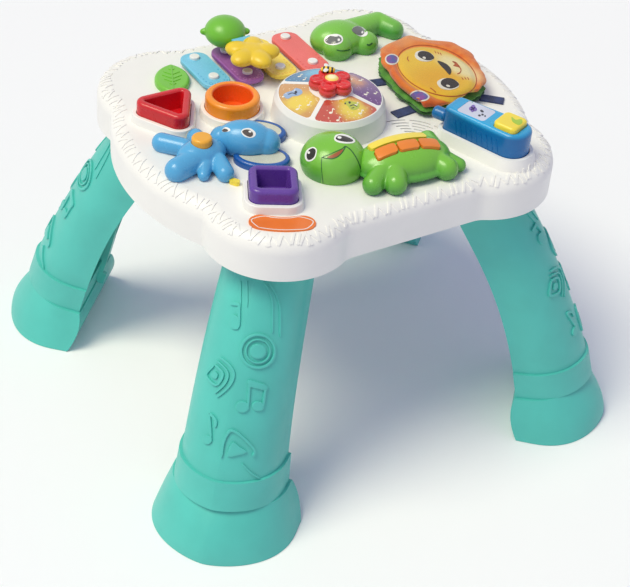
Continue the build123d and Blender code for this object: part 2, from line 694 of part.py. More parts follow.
def chin_wedge():
    """Block that the chin plate is cut from, facing the table's front."""
    wedge = Polyline((-15, 0), (-15, -60), (30, -60), (22, 0), close=True)
    face = make_face(wedge)
    return at(*TURTLE_HEAD, TOP_Z, -25) * extrude(face, 27)


def turtle_skull():
    """Head shell with the recess that the chin plate fills."""
    recess = chin_wedge() - head_ball(-3.0)
    return turtle_head() - recess


def turtle_chin():
    return (turtle_head() & chin_wedge()) - head_ball(-2.9)


def turtle_body():
    """Shell casing and belly of the turtle, joined to the head."""
    hull = shell_hull() & above(TOP_Z)
    for name in TURTLE_KEYS:
        hull -= extrude(Pos(0, 0, KEY_SEAT_Z) * turtle_key_outline(name, KEY_GAP), 60)
    return hull - head_ball(0.1)


KEY_SEAT_Z = TOP_Z + 12.0
TURTLE_KEYS = {"turtle_key_yellow": (-6.0, 6.5, 62.0, 12.0), "turtle_key_orange_a": (-25.0, -8.0, 22.0, 12.0),
               "turtle_key_orange_b": (-1.0, -8.0, 22.0, 12.0), "turtle_key_orange_c": (23.0, -8.0, 22.0, 12.0)}


def turtle_key_outline(name, grow=0.0):
    x, y, length, width = TURTLE_KEYS[name]
    return turtle_frame() * Pos(x, y) * RectangleRounded(length + 2 * grow, width + 2 * grow, 3 + grow)


def turtle_key(name):
    """Key that follows the curve of the shell and stands a little proud."""
    stem = extrude(Pos(0, 0, KEY_SEAT_Z + KEY_TRAVEL + FIT) * turtle_key_outline(name), 60)
    key = stem & shell_hull(2.2)
    return key - head_ball(KEY_GAP) - head_ball(KEY_GAP, KEY_TRAVEL)


def turtle_legs():
    """Four stubby legs round the shell."""
    legs = []
    for start, end, radius in (((-22, -22, 10), (-42, -34, 8), 11), ((-18, -22, 12), (-22, -42, 10), 12),
                               ((34, -18, 12), (38, -36, 9), 12), ((40, 12, 12), (44, 30, 8), 11)):
        low = (start[0], start[1], TOP_Z + start[2])
        far = (end[0], end[1], TOP_Z + end[2])
        legs.append(turtle_frame() * capsule(low, far, radius))
    group = (legs[0] + legs[1] + legs[2] + legs[3]) & above(TOP_Z)
    return group - shell_hull() - head_ball(0.1)


# ---- inchworm --------------------------------------------------------------
def inchworm_body():
    """Green head with a chin and a snout, and a tail that arches along the rim."""
    head = Pos(87, 113, TOP_Z + 8) * Rot(0, 0, -14) * egg(62, 24)
    chin = Pos(77, 98, TOP_Z + 6) * Sphere(15)
    snout = Pos(111, 96, TOP_Z + 6) * Sphere(15)
    tail = capsule((108, 121, TOP_Z + 8), (150, 123, TOP_Z + 6), 15)
    tip = capsule((150, 123, TOP_Z + 6), (161, 110, TOP_Z + 4), 12.5)
    return (head + chin + snout + tail + tip) & above(TOP_Z)


# ---- resting blue animal ---------------------------------------------------
ANIMAL_HEAD = (-115.0, -34.0, TOP_Z + 15.0)
ANIMAL_BODY = (-166.0, -36.0, TOP_Z + 12.0)
BELLY_R = 10.5


def animal_head_solid(grow=0.0):
    return Pos(*ANIMAL_HEAD) * Rot(0, 0, -34) * egg(60 + 2 * grow, 20.5 + grow)


def animal_head():
    return animal_head_solid() & above(TOP_Z)


def animal_body():
    """Torso with two legs and two arms, and the pocket of the belly button."""
    bx, by, bz = ANIMAL_BODY
    torso = Pos(bx, by, bz) * Rot(0, 0, 2) * egg(54, 18)
    limbs = capsule((-176, -20, TOP_Z + 9), (-191, 6, TOP_Z + 7), 9.5)
    limbs += capsule((-180, -42, TOP_Z + 10), (-197, -44, TOP_Z + 8), 13)
    limbs += capsule((-154, -20, TOP_Z + 9), (-149, 2, TOP_Z + 8), 9)
    limbs += capsule((-157, -50, TOP_Z + 9), (-157, -66, TOP_Z + 7), 8.5)
    whole = (torso + limbs) & above(TOP_Z)
    whole -= Pos(bx, by, TOP_Z + 14) * Cylinder(BELLY_R + KEY_GAP, 40, align=(Align.CENTER, Align.CENTER, Align.MIN))
    return whole - animal_head_solid(0.1)


def belly_button():
    bx, by, bz = ANIMAL_BODY
    button = Cylinder(BELLY_R, bz + 18 + 3 - (TOP_Z + 14 + KEY_TRAVEL + FIT), align=(Align.CENTER, Align.CENTER, Align.MIN))
    button = fillet(button.edges().sort_by(Axis.Z)[-1], 3)
    return Pos(bx, by, TOP_Z + 14 + KEY_TRAVEL + FIT) * button


EAR_PLACES = [(-87.0, -13.0, -36.0), (-108.0, -58.0, -34.0)]
EAR_LONG = 29.0
EAR_SHORT = 20.0
EAR_RIM = 5.0


def ear_room(body):
    """Head, body, orange collar and dome that the ears are fitted round."""
    collar = extrude(Pos(0, 0, TOP_Z) * offset(orange_outline(), CUP_GAP + COLLAR_WALL + 1.5 + FIT), 20)
    dome = Pos(*DOME_CENTRE, TOP_Z) * Cylinder(DOME_R + FIT, 40)
    return animal_head_solid(0.1) + body + collar + dome


def animal_ears(body):
    """Two oval ears with a sunk panel bed, fitted round the head and body."""
    ears = []
    for x, y, turn in EAR_PLACES:
        ear = extrude(Ellipse(EAR_LONG, EAR_SHORT), 8)
        ear = fillet(ear.faces().sort_by(Axis.Z)[-1].edges(), 3)
        ear -= Pos(0, 0, 7) * extrude(Ellipse(EAR_LONG - EAR_RIM, EAR_SHORT - EAR_RIM), 5)
        ears.append(at(x, y, TOP_Z, turn) * ear - ear_room(body))
    return Compound(ears)


def ear_panels(body):
    """Thin patterned panels in the ears."""
    panels = []
    for x, y, turn in EAR_PLACES:
        panel = extrude(Ellipse(EAR_LONG - EAR_RIM - 0.2, EAR_SHORT - EAR_RIM - 0.2), 0.6)
        panels.append(at(x, y, TOP_Z + 7, turn) * panel - ear_room(body))
    return Compound(panels)


# ---- small trim on the play surface ----------------------------------------
def leaf():
    """Raised pointed leaf by the red cup."""
    lens_shape = (Pos(14, 0) * Circle(33)) & (Pos(-14, 0) * Circle(33))
    blade = extrude(lens_shape, 7)
    blade = fillet(blade.faces().sort_by(Axis.Z)[-1].edges(), 3.5)
    blade = at(-120.5, 118.0, TOP_Z, -24) * blade
    return blade


def vine_stems(body, ears):
    """Three short yellow stems from the cup collars to the blue animal."""
    around = body + ears
    for outline in CUPS.values():
        around += cup_collar(outline)
    stems = []
    for start, end in (((-148.5, 9), (-153.5, 11.5)), ((-117, 10), (-124, -3)), ((-151, -84), (-154, -80))):
        length = math.dist(start, end)
        middle = ((start[0] + end[0]) / 2, (start[1] + end[1]) / 2)
        turn = math.degrees(math.atan2(end[1] - start[1], end[0] - start[0]))
        stem = extrude(SlotCenterToCenter(length, 6), 5)
        stems.append(at(*middle, TOP_Z, turn) * stem - around)
    return Compound(stems)


def label_plate():
    """Plain curved plate in front of the purple cup."""
    bend = 75.0
    spine = CenterArc((0, bend), bend, 254, 32)
    plate = extrude(SlotArc(spine, 24), 1.2)
    return at(-144.0, -163.0, TOP_Z, -27) * plate


# ---- cloth book ------------------------------------------------------------
def book_outline(inset=0.0):
    outline = make_face(Polyline(*BOOK_OUTLINE, close=True))
    outline = fillet(outline.vertices(), BOOK_ROUND)
    return offset(outline, -inset) if inset else outline


BOOK_PAGE_Z = BOOK_BACK_Z + BOOK_BACK_THICK + FIT
BOOK_COVER_Z = BOOK_PAGE_Z + BOOK_PAGE_THICK + FIT


def book_back():
    return extrude(Pos(0, 0, BOOK_BACK_Z) * book_outline(3), BOOK_BACK_THICK)


def book_page():
    return extrude(Pos(0, 0, BOOK_PAGE_Z) * book_outline(1), BOOK_PAGE_THICK)


def book_cover():
    cover = extrude(Pos(0, 0, BOOK_COVER_Z) * book_outline(), BOOK_COVER_THICK)
    return fillet(cover.faces().sort_by(Axis.Z)[-1].edges(), 6)


def book_straps():
    straps = []
    for x, y, turn in ((84, 26, 170), (78, -38, 185), (182, -56, -42)):
        strap = at(x, y, TOP_Z + FIT, turn) * Box(26, 13, STRAP_THICK, align=(Align.CENTER, Align.CENTER, Align.MIN))
        straps.append(strap)
    return Compound(straps)


def all_parts():
    """Every piece of the table by its name."""
    parts = {"table_top": table_top(), "base_tray": base_tray(), "battery_door": battery_door(),
             "batteries": batteries(), "tray_screws": tray_screws(), "speaker_driver": speaker_driver(),
             "circuit_board": circuit_board()}
    one_leg = whole_leg()
    for name, angle in LEGS.items():
        parts[name] = Rot(0, 0, angle) * one_leg
    for name, outline in CUPS.items():
        parts[name] = shape_cup(outline)
    parts["return_pad_red"] = return_pad(RED_CENTRE)
    parts["return_pad_orange"] = return_pad(ORANGE_CENTRE)
    parts["return_pad_purple"] = return_pad(PURPLE_CENTRE)
    parts["dome_ring"] = dome_ring()
    for index, colour in enumerate(("blue", "amber", "red", "purple")):
        parts["dome_lens_" + colour] = lens(index)
    parts["lamp_board"] = lamp_board()
    parts["flower_petals"] = flower_petals()
    parts["flower_centre"] = flower_centre()
    parts["flower_shaft"] = flower_shaft()
    parts["bee"] = bee()
    for index, name in enumerate(BAR_NAMES):
        parts[name] = chime_bar(index)
    parts["chime_pegs"] = chime_pegs()
    parts["striker_post"] = striker_post()
    parts["striker_lever"] = striker_lever()
    parts["striker_star"] = striker_star()
    parts["striker_ball"] = striker_ball()
    parts["phone_body"] = phone_body()
    parts["phone_key"] = phone_key()
    parts["phone_screen"] = phone_screen()
    parts["turtle_head"] = turtle_skull()
    parts["turtle_chin"] = turtle_chin()
    parts["turtle_body"] = turtle_body()
    parts["turtle_legs"] = turtle_legs()
    for name in TURTLE_KEYS:
        parts[name] = turtle_key(name)
    parts["inchworm_body"] = inchworm_body()
    parts["animal_head"] = animal_head()
    body = animal_body()
    parts["animal_body"] = body
    parts["animal_ears"] = animal_ears(body)
    parts["ear_panels"] = ear_panels(body)
    parts["belly_button"] = belly_button()
    parts["leaf"] = leaf()
    parts["vine_stems"] = vine_stems(body, parts["animal_ears"])
    parts["label_plate"] = label_plate()
    parts["book_back"] = book_back()
    parts["book_page"] = book_page()
    parts["book_cover"] = book_cover()
    parts["book_straps"] = book_straps()
    return parts


os.makedirs("parts", exist_ok=True)
for part_name, part in all_parts().items():
    export_step(part, "parts/" + part_name + ".step")
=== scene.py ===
"""Visual model of the musical activity table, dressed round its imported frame."""
import logging
import math
from dataclasses import dataclass, field
from enum import Enum
from typing import Callable, Union

import bpy
from mathutils import Matrix, Vector


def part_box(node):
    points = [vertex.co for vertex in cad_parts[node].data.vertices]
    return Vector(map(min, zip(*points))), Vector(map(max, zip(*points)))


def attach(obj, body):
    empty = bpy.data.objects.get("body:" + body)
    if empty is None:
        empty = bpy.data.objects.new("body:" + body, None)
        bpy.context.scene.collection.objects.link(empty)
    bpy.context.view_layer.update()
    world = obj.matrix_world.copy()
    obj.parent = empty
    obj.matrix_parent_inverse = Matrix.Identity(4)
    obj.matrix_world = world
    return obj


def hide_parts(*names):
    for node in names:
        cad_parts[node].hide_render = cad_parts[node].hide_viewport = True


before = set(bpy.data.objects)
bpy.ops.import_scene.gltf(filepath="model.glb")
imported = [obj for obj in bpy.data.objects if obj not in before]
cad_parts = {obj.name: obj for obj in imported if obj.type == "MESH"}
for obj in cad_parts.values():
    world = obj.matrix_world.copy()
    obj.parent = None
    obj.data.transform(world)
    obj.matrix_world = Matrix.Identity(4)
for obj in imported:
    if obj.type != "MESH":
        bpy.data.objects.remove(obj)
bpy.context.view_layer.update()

LOG = logging.getLogger("activity_table")

MM = 0.001
TOP_Z = 337.0                # play surface, mm
RIM_Z = 291.0                # lower edge of the rim
UP = (0.0, 0.0, 1.0)
SEAT_Z = TOP_Z - 0.25        # melted forms stand this deep in the play surface
Colour = tuple[float, float, float]
Place = tuple[float, float, float]
Point = tuple[float, float]
STAND: Place = (-851.29, -1282.03, 1273.95)   # the camera's place, mm
OVER = 380.0                 # marks for flat pieces start at this height and are laid down on them
OVER_DOME = 420.0            # the same for the dome
NOTE_TURN = -34.0            # turn that sets the notes upright as seen from the camera, degrees
FIFTH = 72.0                 # degrees between petals and between the star's arms


# ---- shader tools ----------------------------------------------------------
def srgb(red: float, green: float, blue: float) -> Colour:
    """Linear colour from display values.

    Args:
        red: Display red, 0 to 255.
        green: Display green, 0 to 255.
        blue: Display blue, 0 to 255.

    Returns:
        The linear colour.
    """
    def linear(value: float) -> float:
        """One channel, linear."""
        level = value / 255.0
        return level / 12.92 if level <= 0.04045 else ((level + 0.055) / 1.055) ** 2.4
    return (linear(red), linear(green), linear(blue))


class Field:
    """A shader value that takes part in Python arithmetic."""

    def __init__(self, paint: "Paint", socket: bpy.types.NodeSocket) -> None:
        """Keep the socket and the material it belongs to."""
        self.paint = paint
        self.socket = socket

    def maths(self, operation: str, *others: "Number", swap: bool = False) -> "Field":
        """Add one Math node.

        Args:
            operation: Name of the Math operation.
            others: Further operands.
            swap: Put this value last instead of first.

        Returns:
            The node's result.
        """
        operands = [*others, self] if swap else [self, *others]
        node = self.paint.node("ShaderNodeMath", {"operation": operation}, dict(enumerate(operands)))
        return Field(self.paint, node.outputs[0])

    def __add__(self, other: "Number") -> "Field":
        """Sum."""
        return self.maths("ADD", other)

    __radd__ = __add__

    def __sub__(self, other: "Number") -> "Field":
        """Difference."""
        return self.maths("SUBTRACT", other)

    def __rsub__(self, other: "Number") -> "Field":
        """Reflected difference."""
        return self.maths("SUBTRACT", other, swap=True)

    def __mul__(self, other: "Number") -> "Field":
        """Product."""
        return self.maths("MULTIPLY", other)

    __rmul__ = __mul__

    def __truediv__(self, other: "Number") -> "Field":
        """Quotient."""
        return self.maths("DIVIDE", other)

    def __pow__(self, other: "Number") -> "Field":
        """Power."""
        return self.maths("POWER", other)

    def sine(self) -> "Field":
        """Sine of the value in radians."""
        return self.maths("SINE")

    def root(self) -> "Field":
        """Square root."""
        return self.maths("SQRT")

    def step(self, low: float, high: float) -> "Field":
        """Smooth step from 0 at low to 1 at high; low may be the larger.

        Args:
            low: Value that gives 0.
            high: Value that gives 1.

        Returns:
            The mask.
        """
        flip = low > high
        ends = (high, low) if flip else (low, high)
        node = self.paint.node("ShaderNodeMapRange", {"interpolation_type": "SMOOTHSTEP"},
                               {"Value": self, "From Min": ends[0], "From Max": ends[1]})
        mask = Field(self.paint, node.outputs[0])
        return 1.0 - mask if flip else mask


Number = Union[Field, float, int]
Ink = Union[Colour, bpy.types.NodeSocket]


class Paint:
    """One node material under construction."""

    def __init__(self, name: str) -> None:
        """Start an empty principled material."""
        self.material = bpy.data.materials.new(name)
        self.material.use_nodes = True
        self.tree = self.material.node_tree
        self.tree.nodes.clear()
        self.shader = self.tree.nodes.new("ShaderNodeBsdfPrincipled")
        output = self.tree.nodes.new("ShaderNodeOutputMaterial")
        self.tree.links.new(self.shader.outputs[0], output.inputs[0])
        self.coordinates = self.tree.nodes.new("ShaderNodeTexCoord")

    def node(self, kind: str, settings: dict, inputs: dict) -> bpy.types.Node:
        """Add any node, set it up and feed its sockets.

        Args:
            kind: Blender's node type.
            settings: Attributes set first.
            inputs: Values or links by socket name or number.

        Returns:
            The node.
        """
        made = self.tree.nodes.new(kind)
        for key, value in settings.items():
            setattr(made, key, value)
        for key, value in inputs.items():
            self.feed(made.inputs[key], value)
        return made

    def feed(self, target: bpy.types.NodeSocket, value: object) -> None:
        """Link a socket or set its value.

        Args:
            target: Socket to feed.
            value: Field, socket, colour, vector or number.
        """
        if isinstance(value, Field):
            value = value.socket
        if isinstance(value, bpy.types.NodeSocket):
            self.tree.links.new(value, target)
        elif target.type == "RGBA" and len(value) == 3:
            target.default_value = (*value, 1.0)
        else:
            target.default_value = value

    def place(self, centre: Place = (0.0, 0.0, 0.0), turn: float = 0.0) -> bpy.types.NodeSocket:
        """Object position in millimetres about a centre, turned about Z.

        Args:
            centre: Point that becomes zero, in millimetres.
            turn: Turn in degrees of the pattern's X axis.

        Returns:
            The vector socket.
        """
        angle = math.radians(-turn)
        spun = Matrix.Rotation(angle, 3, "Z") @ Vector(centre)
        node = self.node("ShaderNodeMapping", {}, {
            "Vector": self.coordinates.outputs["Object"], "Scale": (1000.0,) * 3,
            "Rotation": (0.0, 0.0, angle), "Location": tuple(-spun)})
        return node.outputs[0]

    def axes(self, centre: Place = (0.0, 0.0, 0.0), turn: float = 0.0) -> tuple[Field, Field, Field]:
        """The three parts of place().

        Args:
            centre: Point that becomes zero, in millimetres.
            turn: Turn in degrees.

        Returns:
            Fields for X, Y and Z in millimetres.
        """
        split = self.node("ShaderNodeSeparateXYZ", {}, {0: self.place(centre, turn)})
        return (Field(self, split.outputs[0]), Field(self, split.outputs[1]), Field(self, split.outputs[2]))

    def noise(self, period: float, detail: float = 2.0) -> Field:
        """Noise of about zero to one.

        Args:
            period: Size of the blotches in millimetres.
            detail: Octaves.

        Returns:
            The noise.
        """
        node = self.node("ShaderNodeTexNoise", {}, {
            "Vector": self.place(), "Scale": 1.0 / period, "Detail": detail})
        return Field(self, node.outputs[0])

    def cells(self, period: float) -> Field:
        """Distance to the nearest of scattered points, in periods.

        Args:
            period: Mean spacing in millimetres.

        Returns:
            The distance.
        """
        node = self.node("ShaderNodeTexVoronoi", {}, {"Vector": self.place(), "Scale": 1.0 / period})
        return Field(self, node.outputs["Distance"])

    def mix(self, mask: Number, low: Ink, high: Ink) -> bpy.types.NodeSocket:
        """Blend two colours.

        Args:
            mask: 0 gives low, 1 gives high.
            low: First colour.
            high: Second colour.

        Returns:
            The colour socket.
        """
        made = self.tree.nodes.new("ShaderNodeMix")
        made.data_type = "RGBA"
        self.feed(made.inputs[0], mask)
        self.feed(made.inputs[6], low)
        self.feed(made.inputs[7], high)
        return made.outputs[2]

    def bump(self, height: Field, depth: float, strength: float = 1.0,
             below: bpy.types.NodeSocket | None = None) -> bpy.types.NodeSocket:
        """Bump from a height of zero to one.

        Args:
            height: The relief.
            depth: Its depth in millimetres.
            strength: Share that shows.
            below: Normal of a coarser bump.

        Returns:
            The normal socket.
        """
        inputs = {"Height": height, "Distance": depth * MM, "Strength": strength}
        if below is not None:
            inputs["Normal"] = below
        return self.node("ShaderNodeBump", {}, inputs).outputs[0]

    def close(self, **inputs: object) -> bpy.types.Material:
        """Feed the principled shader and hand over the material.

        Args:
            inputs: Socket values, with underscores for the spaces in names.

        Returns:
            The material.
        """
        for key, value in inputs.items():
            self.feed(self.shader.inputs[key.replace("_", " ")], value)
        return self.material


# ---- finishes --------------------------------------------------------------
@dataclass(frozen=True)
class Zone:
    """Painted ellipsoid patch on a moulded piece, sizes in millimetres."""

    centre: Place
    radii: Place
    colour: Colour
    turn: float = 0.0
    soft: float = 0.06

    def mask(self, paint: Paint) -> Field:
        """Mask that is one inside the patch.

        Args:
            paint: Material under construction.

        Returns:
            The mask.
        """
        x, y, z = paint.axes(self.centre, self.turn)
        reach = ((x / self.radii[0]) ** 2.0 + (y / self.radii[1]) ** 2.0 + (z / self.radii[2]) ** 2.0).root()
        return reach.step(1.0 + self.soft, 1.0 - self.soft)


@dataclass(frozen=True)
class Moulded:
    """Satin moulded plastic with fine grain, faint flow marks and rubbed patches."""

    name: str
    colour: Colour
    zones: tuple[Zone, ...] = ()
    roughness: float = 0.3
    grain: float = 0.05
    drift: float = 0.10
    speck: float = 0.0

    def make(self) -> bpy.types.Material:
        """Build the node material."""
        paint = Paint(self.name)
        shade = tuple(channel * (1.0 - self.drift) for channel in self.colour)
        tone: Ink = paint.mix(paint.noise(45.0, 3.0).step(0.3, 0.7), self.colour, shade)
        if self.speck:
            flake = paint.cells(1.6).step(0.34, 0.2) * self.speck
            tone = paint.mix(flake, tone, tuple(min(1.0, channel * 1.25 + 0.08) for channel in self.colour))
        for zone in self.zones:
            tone = paint.mix(zone.mask(paint), tone, zone.colour)
        rubbed = paint.noise(14.0, 4.0).step(0.45, 0.75)
        fine = paint.noise(0.9, 2.0)
        return paint.close(Base_Color=tone, Roughness=self.roughness + rubbed * 0.09,
                           Normal=paint.bump(fine, self.grain))


@dataclass(frozen=True)
class Woven:
    """Printed plush or woven cloth with a visible thread and soft nap."""

    name: str
    colour: Colour
    shade: Colour
    zones: tuple[Zone, ...] = ()
    thread: float = 0.9
    nap: float = 0.25

    def make(self) -> bpy.types.Material:
        """Build the node material."""
        paint = Paint(self.name)
        x, y, _ = paint.axes()
        pitch = 2.0 * math.pi / self.thread
        weave = ((x * pitch).sine() * (y * pitch).sine()) * 0.5 + 0.5
        blotch = paint.noise(9.0, 5.0)
        tone: Ink = paint.mix(blotch.step(0.35, 0.68), self.colour, self.shade)
        for zone in self.zones:
            tone = paint.mix(zone.mask(paint), tone, zone.colour)
        dark = paint.mix(weave * 0.22 + paint.noise(1.3, 3.0) * 0.22, tone, (0.02, 0.015, 0.01))
        fuzz = paint.bump(paint.noise(1.1, 4.0), self.nap)
        return paint.close(Base_Color=dark, Roughness=0.9, Sheen_Weight=0.25, Sheen_Roughness=0.5,
                           Normal=paint.bump(weave, 0.12, 0.6, fuzz))


@dataclass(frozen=True)
class Steel:
    """Turned steel with fine rings and light scuffs."""

    name: str
    colour: Colour

    def make(self) -> bpy.types.Material:
        """Build the node material."""
        paint = Paint(self.name)
        scuff = paint.noise(1.5, 4.0)
        tone = paint.mix(scuff.step(0.4, 0.8), self.colour, tuple(0.7 * channel for channel in self.colour))
        return paint.close(Base_Color=tone, Metallic=1.0, Roughness=0.25 + scuff * 0.2,
                           Normal=paint.bump(scuff, 0.03))


@dataclass(frozen=True)
class Window:
    """Printed translucent window: tinted edge, warm glow and a scatter of dots."""

    name: str
    edge: Colour
    glow: Colour
    hot: Point
    ink: Colour

    def make(self) -> bpy.types.Material:
        """Build the node material."""
        paint = Paint(self.name)
        x, y, _ = paint.axes((self.hot[0], self.hot[1], 0.0))
        near = (x * x + y * y).root()
        cloud = paint.noise(11.0, 4.0) * 16.0
        tone = paint.mix((near + cloud).step(14.0, 33.0), self.glow, self.edge)
        motes = paint.cells(4.2).step(0.24, 0.14)
        tone = paint.mix(motes * 0.55, tone, self.ink)
        return paint.close(Base_Color=tone, Roughness=0.12, Coat_Weight=0.4, Coat_Roughness=0.08,
                           Normal=paint.bump(paint.noise(18.0, 2.0), 0.25))


WHITE_INK = srgb(250, 249, 244)
BLACK_INK = srgb(24, 18, 16)
WHITE_SHELL = Moulded("white_shell", srgb(243, 241, 236), roughness=0.33, drift=0.03)
TEAL = Moulded("teal_leg", srgb(84, 196, 184), roughness=0.38, grain=0.08, drift=0.07)
TRAY = Moulded("tray_grey", srgb(225, 224, 219), roughness=0.55, grain=0.12, drift=0.05)
BATTERY = Moulded("battery_sleeve", srgb(92, 96, 104), roughness=0.3)
SPEAKER = Moulded("speaker_cone", srgb(26, 26, 28), roughness=0.75, grain=0.2)
BOARD = Moulded("board_green", srgb(22, 100, 60), roughness=0.35, speck=0.6)
RED_CUP = Moulded("cup_red", srgb(206, 22, 34), roughness=0.24)
# The darker, redder orange zone inside the bowl is painted shade in the hollow.
ORANGE_CUP = Moulded("cup_orange", srgb(252, 150, 28), roughness=0.24,
                     zones=(Zone((-91.5, 36.0, 352.0), (23.0, 23.0, 30.0), srgb(232, 92, 26), soft=0.05),))
PURPLE_CUP = Moulded("cup_purple", srgb(98, 58, 156), roughness=0.26)
RUBBER = Moulded("pad_rubber", srgb(205, 204, 200), roughness=0.8, grain=0.1)
RED_FLOWER = Moulded("flower_red", srgb(226, 34, 40), roughness=0.2, zones=(
    Zone((-1.0, -12.0, 371.0), (60.0, 60.0, 8.0), srgb(216, 92, 84), soft=0.6),))
YELLOW = Moulded("soft_yellow", srgb(250, 224, 70), roughness=0.3)
STAR_YELLOW = Moulded("star_yellow", srgb(244, 206, 46), roughness=0.34)
BALL_GREEN = Moulded("ball_green", srgb(112, 190, 48), roughness=0.3)
PEG_WHITE = Moulded("peg_white", srgb(244, 243, 239), roughness=0.3)
BAR_BLUE = Moulded("bar_blue", srgb(122, 202, 232), roughness=0.4, speck=0.35)
BAR_PURPLE = Moulded("bar_purple", srgb(156, 92, 168), roughness=0.4, speck=0.35)
BAR_YELLOW = Moulded("bar_yellow", srgb(246, 216, 84), roughness=0.4, speck=0.35)
BAR_CORAL = Moulded("bar_coral", srgb(238, 112, 106), roughness=0.4, speck=0.35)
PHONE = Moulded("phone_blue", srgb(6, 106, 172), roughness=0.24, zones=(
    Zone((119.0, -132.5, 384.0), (90.0, 70.0, 13.0), srgb(34, 162, 216), soft=0.25),))
SCREEN = Moulded("screen_print", srgb(208, 212, 232), roughness=0.18)
# The darker green zone low on the turtle, near the table, is painted shade on its lower sides.
TURTLE = Moulded("turtle_green", srgb(122, 194, 58), roughness=0.22, zones=(
    Zone((0.0, -120.0, 333.0), (140.0, 90.0, 19.0), srgb(52, 138, 58), soft=0.7),))
CHIN = Moulded("turtle_chin", srgb(118, 188, 66), roughness=0.28)
KEY_ORANGE = Moulded("key_orange", srgb(240, 134, 42), roughness=0.28)
# The two darker green zones low on the body, near the table, are painted shade.
INCHWORM = Moulded("inchworm_green", srgb(124, 194, 72), roughness=0.25, zones=(
    Zone((150.0, 106.0, 337.0), (26.0, 22.0, 16.0), srgb(70, 156, 66), soft=0.6),
    Zone((100.0, 84.0, 333.0), (60.0, 30.0, 15.0), srgb(84, 164, 56), soft=0.6)))
EYE_WHITE = Moulded("eye_white", WHITE_INK, roughness=0.2)
EYE_DARK = Moulded("eye_dark", BLACK_INK, roughness=0.12)
EYE_GREY = Moulded("eye_grey", srgb(112, 114, 112), roughness=0.14)
EYE_BROWN = Moulded("eye_brown", srgb(84, 74, 70), roughness=0.12)
MOUTH = Moulded("mouth_brown", srgb(158, 84, 44), roughness=0.35)
LINE_GREEN = Moulded("line_green", srgb(30, 92, 36), roughness=0.4)
PRINT_PALE = Moulded("print_pale", srgb(252, 246, 226), roughness=0.2)
PRINT_NAVY = Moulded("print_navy", srgb(36, 40, 62), roughness=0.25)
PRINT_TEAL = Moulded("print_teal", srgb(58, 164, 138), roughness=0.25)
ANIMAL = Moulded("animal_blue", srgb(84, 170, 220), roughness=0.24)
EAR = Moulded("ear_navy", srgb(26, 88, 168), roughness=0.26)
EAR_PRINT = Moulded("ear_print", srgb(206, 206, 190), roughness=0.35, speck=0.5)
BELLY = Moulded("belly_amber", srgb(242, 172, 50), roughness=0.28)
LEAF = Moulded("leaf_green", srgb(118, 196, 60), roughness=0.3)
LABEL = Moulded("label_orange", srgb(240, 122, 38), roughness=0.28)
SCREW = Steel("screw_steel", (0.62, 0.63, 0.65))
LENSES = {
    "dome_lens_" + name: Window("lens_" + name, srgb(*edge), srgb(*glow), hot, srgb(*ink))
    for name, edge, glow, hot, ink in (
        ("blue", (24, 110, 158), (60, 170, 210), (10.0, 28.0), (150, 220, 240)),
        ("amber", (206, 150, 84), (236, 206, 74), (-40.0, -16.0), (250, 236, 190)),
        ("red", (196, 76, 62), (234, 208, 76), (2.0, -50.0), (250, 226, 190)),
        ("purple", (96, 36, 122), (210, 130, 60), (28.0, 0.0), (200, 160, 220)))
}
COVER = Woven("cloth_cover", srgb(248, 140, 52), srgb(236, 112, 36), zones=(
    Zone((92.0, -62.0, 355.0), (42.0, 60.0, 40.0), srgb(232, 84, 34), soft=0.6),
    Zone((150.0, 84.0, 355.0), (70.0, 34.0, 60.0), srgb(250, 168, 100), soft=0.6),
    Zone((135.0, -12.0, 355.0), (40.5, 55.5, 60.0), srgb(250, 204, 58), -10.0, 0.02),
    # This darker yellow zone on the lower part of the face is painted shade.
    Zone((122.0, -30.0, 355.0), (30.0, 26.0, 60.0), srgb(244, 182, 40), soft=0.7),
    Zone((161.0, -16.0, 355.0), (14.0, 30.0, 60.0), srgb(252, 236, 176), 12.0, 0.5)))
PAGE_GREEN = Woven("cloth_page", srgb(96, 168, 58), srgb(70, 140, 44))
BACK_GREEN = Woven("cloth_back", srgb(60, 120, 52), srgb(44, 96, 40))
NAVY_TAPE = Woven("strap_navy", srgb(40, 62, 120), srgb(26, 42, 88), thread=0.6, nap=0.08)


class Wardrobe:
    """Makes each finish once and puts it on pieces."""

    def __init__(self) -> None:
        """Start with nothing made."""
        self.made: dict[str, bpy.types.Material] = {}

    def get(self, finish: object) -> bpy.types.Material:
        """The material of a finish, made on first use.

        Args:
            finish: A finish with a name and a make method.

        Returns:
            The material.
        """
        if finish.name not in self.made:
            self.made[finish.name] = finish.make()
        return self.made[finish.name]

    def dress(self, piece: bpy.types.Object, finish: object) -> None:
        """Put one finish on a whole piece.

        Args:
            piece: Object to dress.
            finish: Finish to put on.
        """
        if not piece.material_slots:
            piece.data.materials.append(self.get(finish))
        for material_slot in piece.material_slots:
            material_slot.material = self.get(finish)

    def dress_nodes(self, finish: object, *nodes: str) -> None:
        """Put one finish on nodes of the frame, given by name."""
        for node in nodes:
            self.dress(bpy.data.objects[node], finish)


WARDROBE = Wardrobe()


# ---- mesh tools ------------------------------------------------------------
def put(name: str) -> bpy.types.Object:
    """Name the new active piece and hand it over."""
    piece = bpy.context.view_layer.objects.active
    piece.name = name
    return piece


def clear() -> None:
    """Deselect every object."""
    bpy.ops.object.select_all(action="DESELECT")


def pick(*pieces: bpy.types.Object) -> None:
    """Select some pieces alone; the last one is active."""
    clear()
    for piece in pieces:
        piece.select_set(True)
    bpy.context.view_layer.objects.active = pieces[-1]


def settle(piece: bpy.types.Object) -> bpy.types.Object:
    """Apply a piece's place, turn and size to its mesh."""
    pick(piece)
    bpy.ops.object.transform_apply(location=True, rotation=True, scale=True)
    return piece


